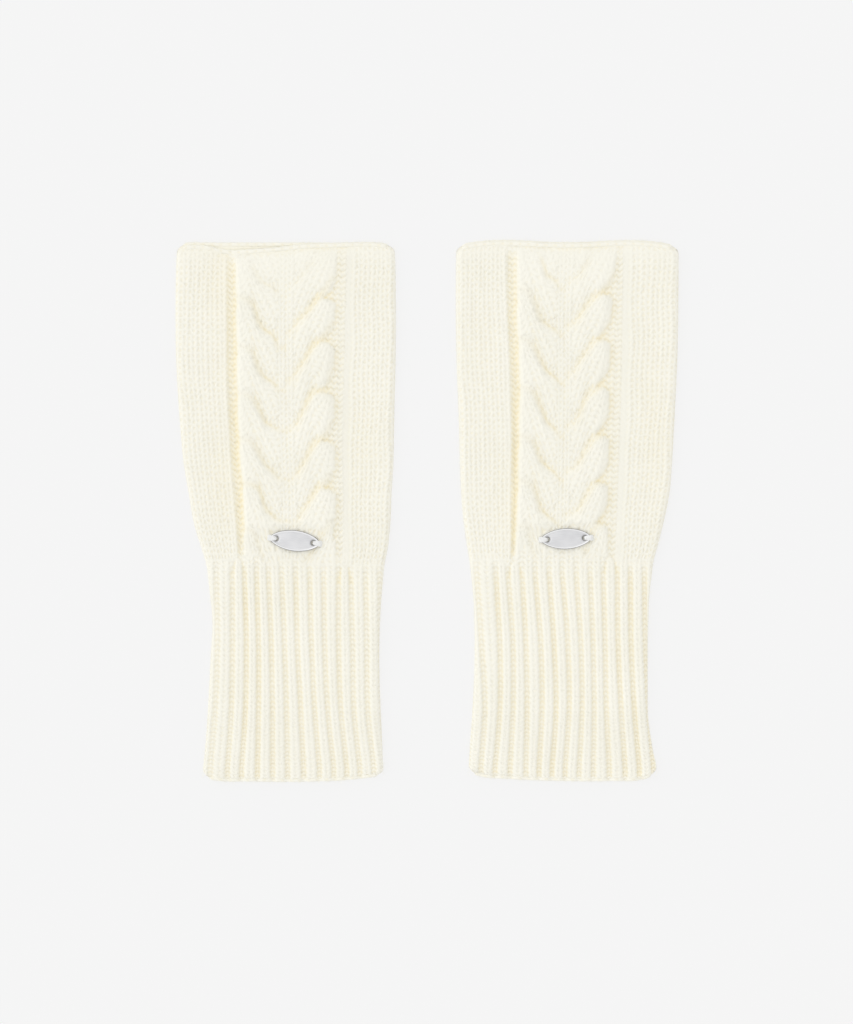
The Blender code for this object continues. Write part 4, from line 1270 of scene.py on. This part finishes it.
def brushed_steel():
    """Pale steel brushed along the tag, brightened on its rim by polishing and a painted highlight,
    and darkened by painted shade on its edges and round its holes.
    """
    material, tree, shader = new_material("brushed_steel")
    place = node(tree, "ShaderNodeUVMap", {"uv_map": "length"})
    stretch = node(tree, "ShaderNodeMapping", Vector=place.outputs[0], Scale=(2.5, 95.0, 1.0))
    brushing = node(tree, "ShaderNodeTexNoise", Vector=stretch.outputs[0], Scale=1.0, Detail=4.0)
    sweep = node(tree, "ShaderNodeTexNoise", Vector=place.outputs[0], Scale=1.6, Detail=1.0)
    rim_shade_and_highlight = node(tree, "ShaderNodeAttribute", {"attribute_name": "edge"})
    streak = node(tree, "ShaderNodeMapRange", Value=brushing.outputs[0], From_Min=0.3, From_Max=0.7,
                  To_Min=0.0, To_Max=0.6)
    both = maths(tree, "ADD", streak.outputs[0], sweep.outputs[0])
    steel = blend(tree, both, STEEL_DULL, STEEL_BRIGHT)
    # Painted highlight on the polished rim, then painted shade on the cut edges and round the
    # holes.
    polish_and_highlight_share = node(tree, "ShaderNodeMapRange", Value=rim_shade_and_highlight.outputs["Fac"], From_Min=0.0, From_Max=-1.0)
    polish_and_highlight_colour = blend(tree, polish_and_highlight_share.outputs[0], steel, STEEL_POLISH_HIGHLIGHT)
    colour = blend(tree, rim_shade_and_highlight.outputs["Fac"], polish_and_highlight_colour, STEEL_PAINTED_SHADE)
    rough = node(tree, "ShaderNodeMapRange", Value=brushing.outputs[0], To_Min=0.26, To_Max=0.42)
    bump = node(tree, "ShaderNodeBump", Height=brushing.outputs[0], Strength=0.25, Distance=0.00004)
    tree.links.new(colour, shader.inputs["Base Color"])
    tree.links.new(rough.outputs[0], shader.inputs["Roughness"])
    tree.links.new(bump.outputs[0], shader.inputs["Normal"])
    shader.inputs["Metallic"].default_value = 1.0
    return material


steel_finish = brushed_steel()
for side in PAIR:
    plate = tag_plate(side, steel_finish)
    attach(plate, "root")
    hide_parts(f"{side}_tag")

# --------------------------------------------------------------------------------------------------
# The thread that holds each tag. White sewing cotton, five turns side by side at each end, that
# come up through the hole, pass over the tip and go down into the knit.

THREAD = 0.36            # radius of one turn of thread
THREAD_TURNS = (-1.0, -0.5, 0.0, 0.5, 1.0)     # how far to one side each turn lies
THREAD_FAN = 1.0         # how far the outer turns spread beyond the tip
THREAD_REACH = 0.12      # every other turn goes down this much further out
THREAD_LOW = 0.10        # the outer turns lie this much lower
THREAD_PATH = (          # distance from the tag's middle, height over the table, share of the fan
    (8.30, 5.20, 0.45), (8.36, 6.10, 0.48), (8.60, 6.70, 0.52), (9.20, 6.92, 0.62),
    (10.0, 6.95, 0.76), (10.8, 6.88, 0.90), (11.3, 6.60, 0.98), (11.7, 6.10, 1.0),
    (11.9, 5.40, 0.96), (11.9, 4.70, 0.90),
)
THREAD_SIDES, THREAD_STEPS = 8, 34    # points round a turn, and along it
TWIST_STEP = 0.35        # how far the twist goes on from step to step


def cotton():
    """White sewing cotton, two-ply, with the twist showing as slanting bands."""
    material, tree, shader = new_material("white_cotton")
    place = node(tree, "ShaderNodeUVMap", {"uv_map": "twist"})
    twist = node(tree, "ShaderNodeTexWave", {"wave_type": "BANDS", "bands_direction": "DIAGONAL"},
                 Vector=place.outputs[0], Scale=5.0, Distortion=0.6)
    colour = blend(tree, twist.outputs["Fac"], (0.94, 0.94, 0.93, 1.0), (0.99, 0.99, 0.98, 1.0))
    bump = node(tree, "ShaderNodeBump", Height=twist.outputs["Fac"], Strength=0.5, Distance=0.00008)
    tree.links.new(colour, shader.inputs["Base Color"])
    tree.links.new(bump.outputs[0], shader.inputs["Normal"])
    shader.inputs["Roughness"].default_value = 0.7
    return material


def thread_turns(side, finish):
    """Five turns at each end, each a round thread that follows its own path."""
    points, faces, twist = [], [], []
    path = np.array(THREAD_PATH)
    knots = np.arange(len(path), dtype=float)
    steps = np.linspace(0, len(path) - 1, THREAD_STEPS)
    angles = [2 * math.pi * k / THREAD_SIDES for k in range(THREAD_SIDES)]
    for end in (-1, 1):
        for place, turn in enumerate(THREAD_TURNS):
            further = THREAD_REACH * (place % 2) * np.linspace(0, 1, len(steps))
            reach = curve(knots, path[:, 0], steps) + further
            lift = curve(knots, path[:, 1], steps) - THREAD_LOW * turn**2
            spread = turn * THREAD_FAN * curve(knots, path[:, 2], steps)
            line = np.stack([end * reach, spread, lift], axis=1)
            ahead = np.gradient(line, axis=0)
            ahead /= np.linalg.norm(ahead, axis=1, keepdims=True)
            sideways = np.cross(ahead, (0.0, 1.0, 0.0))
            sideways /= np.linalg.norm(sideways, axis=1, keepdims=True)
            other = np.cross(ahead, sideways)
            first = len(points)
            for i, at in enumerate(line):
                for k, a in enumerate(angles):
                    out = math.cos(a) * sideways[i] + math.sin(a) * other[i]
                    points.append(at + THREAD * out)
                    twist.append((k / THREAD_SIDES, i * TWIST_STEP))
            number = first + np.arange(len(line) * THREAD_SIDES).reshape(len(line), THREAD_SIDES)
            after = np.roll(number, -1, axis=1)
            round_it = np.stack([number[:-1], after[:-1], after[1:], number[1:]], axis=-1)
            faces += round_it.reshape(-1, 4).tolist()
            faces += [number[0, ::-1].tolist(), number[-1].tolist()]
    return make_piece(f"{side}_tag_thread", on_tag(side, np.array(points)), faces, finish,
                      ("twist", np.array(twist)))


cotton_finish = cotton()
for side in PAIR:
    thread = thread_turns(side, cotton_finish)
    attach(thread, "root")

# --------------------------------------------------------------------------------------------------
# The fuzz. Fine loose ends of the wool that stand out round the edges and lie over the front. Each
# is held by one end in the twist of the yarn, and all are made as one piece for each warmer.

FIBRES_ROUND, FIBRES_OVER = 4200, 1600    # how many stand out round the edges, and lie on the front
SHARE_AT_SIDES = 0.72    # of those round the edges
SHARE_AT_HAND = 0.6      # of the rest, which stand at the hand opening and at the cuff's edge
FIBRE_WIDTH = 0.07
FIBRE_TIP = 0.25         # breadth of a fibre's tip beside that of its foot
FIBRE_STEPS = 4
FIBRE_FRONT = 4.6        # height over the table at which those on the front begin


def loose_fibres(side, finish, seed):
    """Short flat fibres, each bent to one side and narrower towards its tip."""
    rng = np.random.default_rng(seed)
    starts, ways, lengths = [], [], []
    for _ in range(FIBRES_ROUND):
        if rng.random() < SHARE_AT_SIDES:
            height = rng.uniform(2.0, 238.0)
            end = rng.choice((1, 2))
            x = column(OUTLINE[side], end, height) + (0.5 if end == 1 else -0.5) * rng.random()
            way = math.pi if end == 1 else 0.0
        elif rng.random() < SHARE_AT_HAND:
            x = rng.uniform(-46.0, 46.0)
            height = curve(RIMS[side][:, 0], RIMS[side][:, 2], x) - 0.5 * rng.random()
            way = math.pi / 2
        else:
            low, high = column(OUTLINE[side], 1, 3.0), column(OUTLINE[side], 2, 3.0)
            x = rng.uniform(low + 2, high - 2)
            height = curve(HEMS[side][:, 0], HEMS[side][:, 1], x) + 0.5 * rng.random()
            way = -math.pi / 2
        starts.append((x, height, rng.uniform(1.2, 3.4)))
        ways.append(way + rng.normal(0, 0.6))
        lengths.append(rng.gamma(3.0, 0.42))
    for _ in range(FIBRES_OVER):
        height = rng.uniform(3.0, 236.0)
        low, high = column(OUTLINE[side], 1, height), column(OUTLINE[side], 2, height)
        starts.append((rng.uniform(low + 2, high - 2), height, FIBRE_FRONT))
        ways.append(rng.uniform(0, 2 * math.pi))
        lengths.append(rng.gamma(3.0, 0.6))
    starts, ways, lengths = np.array(starts), np.array(ways), np.array(lengths)
    count = len(starts)
    bend = rng.normal(0, 1.0, count)
    on_front = starts[:, 2] == FIBRE_FRONT
    rise = np.where(on_front, rng.uniform(0.1, 0.5, count), rng.normal(0.1, 0.35, count))
    share = np.linspace(0, 1, FIBRE_STEPS)
    turned = ways[:, None] + bend[:, None] * share
    step = lengths[:, None] / FIBRE_STEPS
    x = starts[:, :1] + np.cumsum(np.cos(turned) * step, axis=1) - np.cos(turned[:, :1]) * step
    y = starts[:, 1:2] + np.cumsum(np.sin(turned) * step, axis=1) - np.sin(turned[:, :1]) * step
    z = np.maximum(starts[:, 2:] + rise[:, None] * share * lengths[:, None], 0.1)
    half = FIBRE_WIDTH / 2 * (1 - (1 - FIBRE_TIP) * share)
    left = np.stack([x - np.sin(turned) * half, y + np.cos(turned) * half, z], axis=-1)
    right = np.stack([x + np.sin(turned) * half, y - np.cos(turned) * half, z], axis=-1)
    across, up = middle_of(side)
    points = np.stack([left, right], axis=2).reshape(-1, 3) + np.array([across, up, 0.0])
    first = 2 * (np.arange(count)[:, None] * FIBRE_STEPS + np.arange(FIBRE_STEPS - 1)).ravel()
    faces = np.stack([first, first + 1, first + 3, first + 2], axis=1)
    mesh = bpy.data.meshes.new(f"{side}_loose_fibres")
    mesh.from_pydata((points * MM).tolist(), [], faces.tolist())
    mesh.materials.append(finish)
    fuzz = bpy.data.objects.new(f"{side}_loose_fibres", mesh)
    bpy.context.scene.collection.objects.link(fuzz)
    return fuzz


def fibre_wool():
    """The same wool as single fibres, which let most of the light through."""
    material, tree, shader = new_material("loose_wool")
    place = node(tree, "ShaderNodeTexCoord")
    patches = node(tree, "ShaderNodeTexNoise", Vector=place.outputs["Object"], Scale=300.0)
    colour = blend(tree, patches.outputs[0], (0.93, 0.92, 0.86, 1.0), (0.97, 0.96, 0.92, 1.0))
    tree.links.new(colour, shader.inputs["Base Color"])
    shader.inputs["Roughness"].default_value = 0.9
    shader.inputs["Specular IOR Level"].default_value = 0.1
    return material


fibre_finish = fibre_wool()
for seed, side in enumerate(PAIR):
    fuzz = loose_fibres(side, fibre_finish, 40 + seed)
    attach(fuzz, "root")

# --------------------------------------------------------------------------------------------------
# The table, the light and the camera. A plain pale table top, a broad soft light from the upper
# left and an even dome of light, seen from straight above.

TABLE_HALF = 2.0         # in metres, as are the next two
TABLE_BELOW = 0.00005    # a hair under the warmers
CAMERA_UP = 1.8
TABLE_GREY = 0.12        # the table glows, so that it stays even and pale
TABLE_GLOW = 0.7925
SKY_LIGHT = 0.87
LAMP_LIGHT, LAMP_ANGLE = 0.55, math.radians(70)
LAMP_WAY = (1.0, -0.25, -1.0)         # which way its light goes

table_top = bpy.data.meshes.new("table_top")
square = ((-1, -1), (1, -1), (1, 1), (-1, 1))
table_corners = [(TABLE_HALF * x, TABLE_HALF * y, 0) for x, y in square]
table_top.from_pydata(table_corners, [], [(0, 1, 2, 3)])
floor = bpy.data.objects.new("table_top", table_top)
floor.location.z = -TABLE_BELOW
bpy.context.scene.collection.objects.link(floor)
paper, _, paper_shader = new_material("pale_paper")
paper_shader.inputs["Base Color"].default_value = (TABLE_GREY, TABLE_GREY, TABLE_GREY, 1.0)
paper_shader.inputs["Roughness"].default_value = 0.9
paper_shader.inputs["Specular IOR Level"].default_value = 0.1
paper_shader.inputs["Emission Color"].default_value = (1.0, 1.0, 1.0, 1.0)
paper_shader.inputs["Emission Strength"].default_value = TABLE_GLOW
table_top.materials.append(paper)

world = bpy.data.worlds.new("studio")
world.use_nodes = True
sky = world.node_tree.nodes["Background"]
sky.inputs["Color"].default_value = (1.0, 1.0, 1.0, 1.0)
sky.inputs["Strength"].default_value = SKY_LIGHT
bpy.context.scene.world = world

lamp_data = bpy.data.lights.new("softbox", "SUN")
lamp_data.energy = LAMP_LIGHT
lamp_data.angle = LAMP_ANGLE
lamp = bpy.data.objects.new("softbox", lamp_data)
lamp.rotation_euler = Vector(LAMP_WAY).to_track_quat("-Z", "Y").to_euler()
bpy.context.scene.collection.objects.link(lamp)

PHOTO_HIGH = 456.0       # the photograph's height, at the scale of the warmers
PHOTO_MIDDLE = (62.57, 119.96)        # its middle from the left warmer's middle line and cuff edge
SENSOR = 36.0
camera_data = bpy.data.cameras.new("camera")
camera_data.sensor_width = SENSOR
camera_data.lens = SENSOR * CAMERA_UP / (PHOTO_HIGH * MM)
camera = bpy.data.objects.new("camera", camera_data)
left_x, left_y = middle_of("left")
camera.location = ((left_x + PHOTO_MIDDLE[0]) * MM, (left_y + PHOTO_MIDDLE[1]) * MM, CAMERA_UP)
bpy.context.scene.collection.objects.link(camera)
bpy.context.scene.camera = camera
bpy.context.scene.view_settings.view_transform = "Standard"
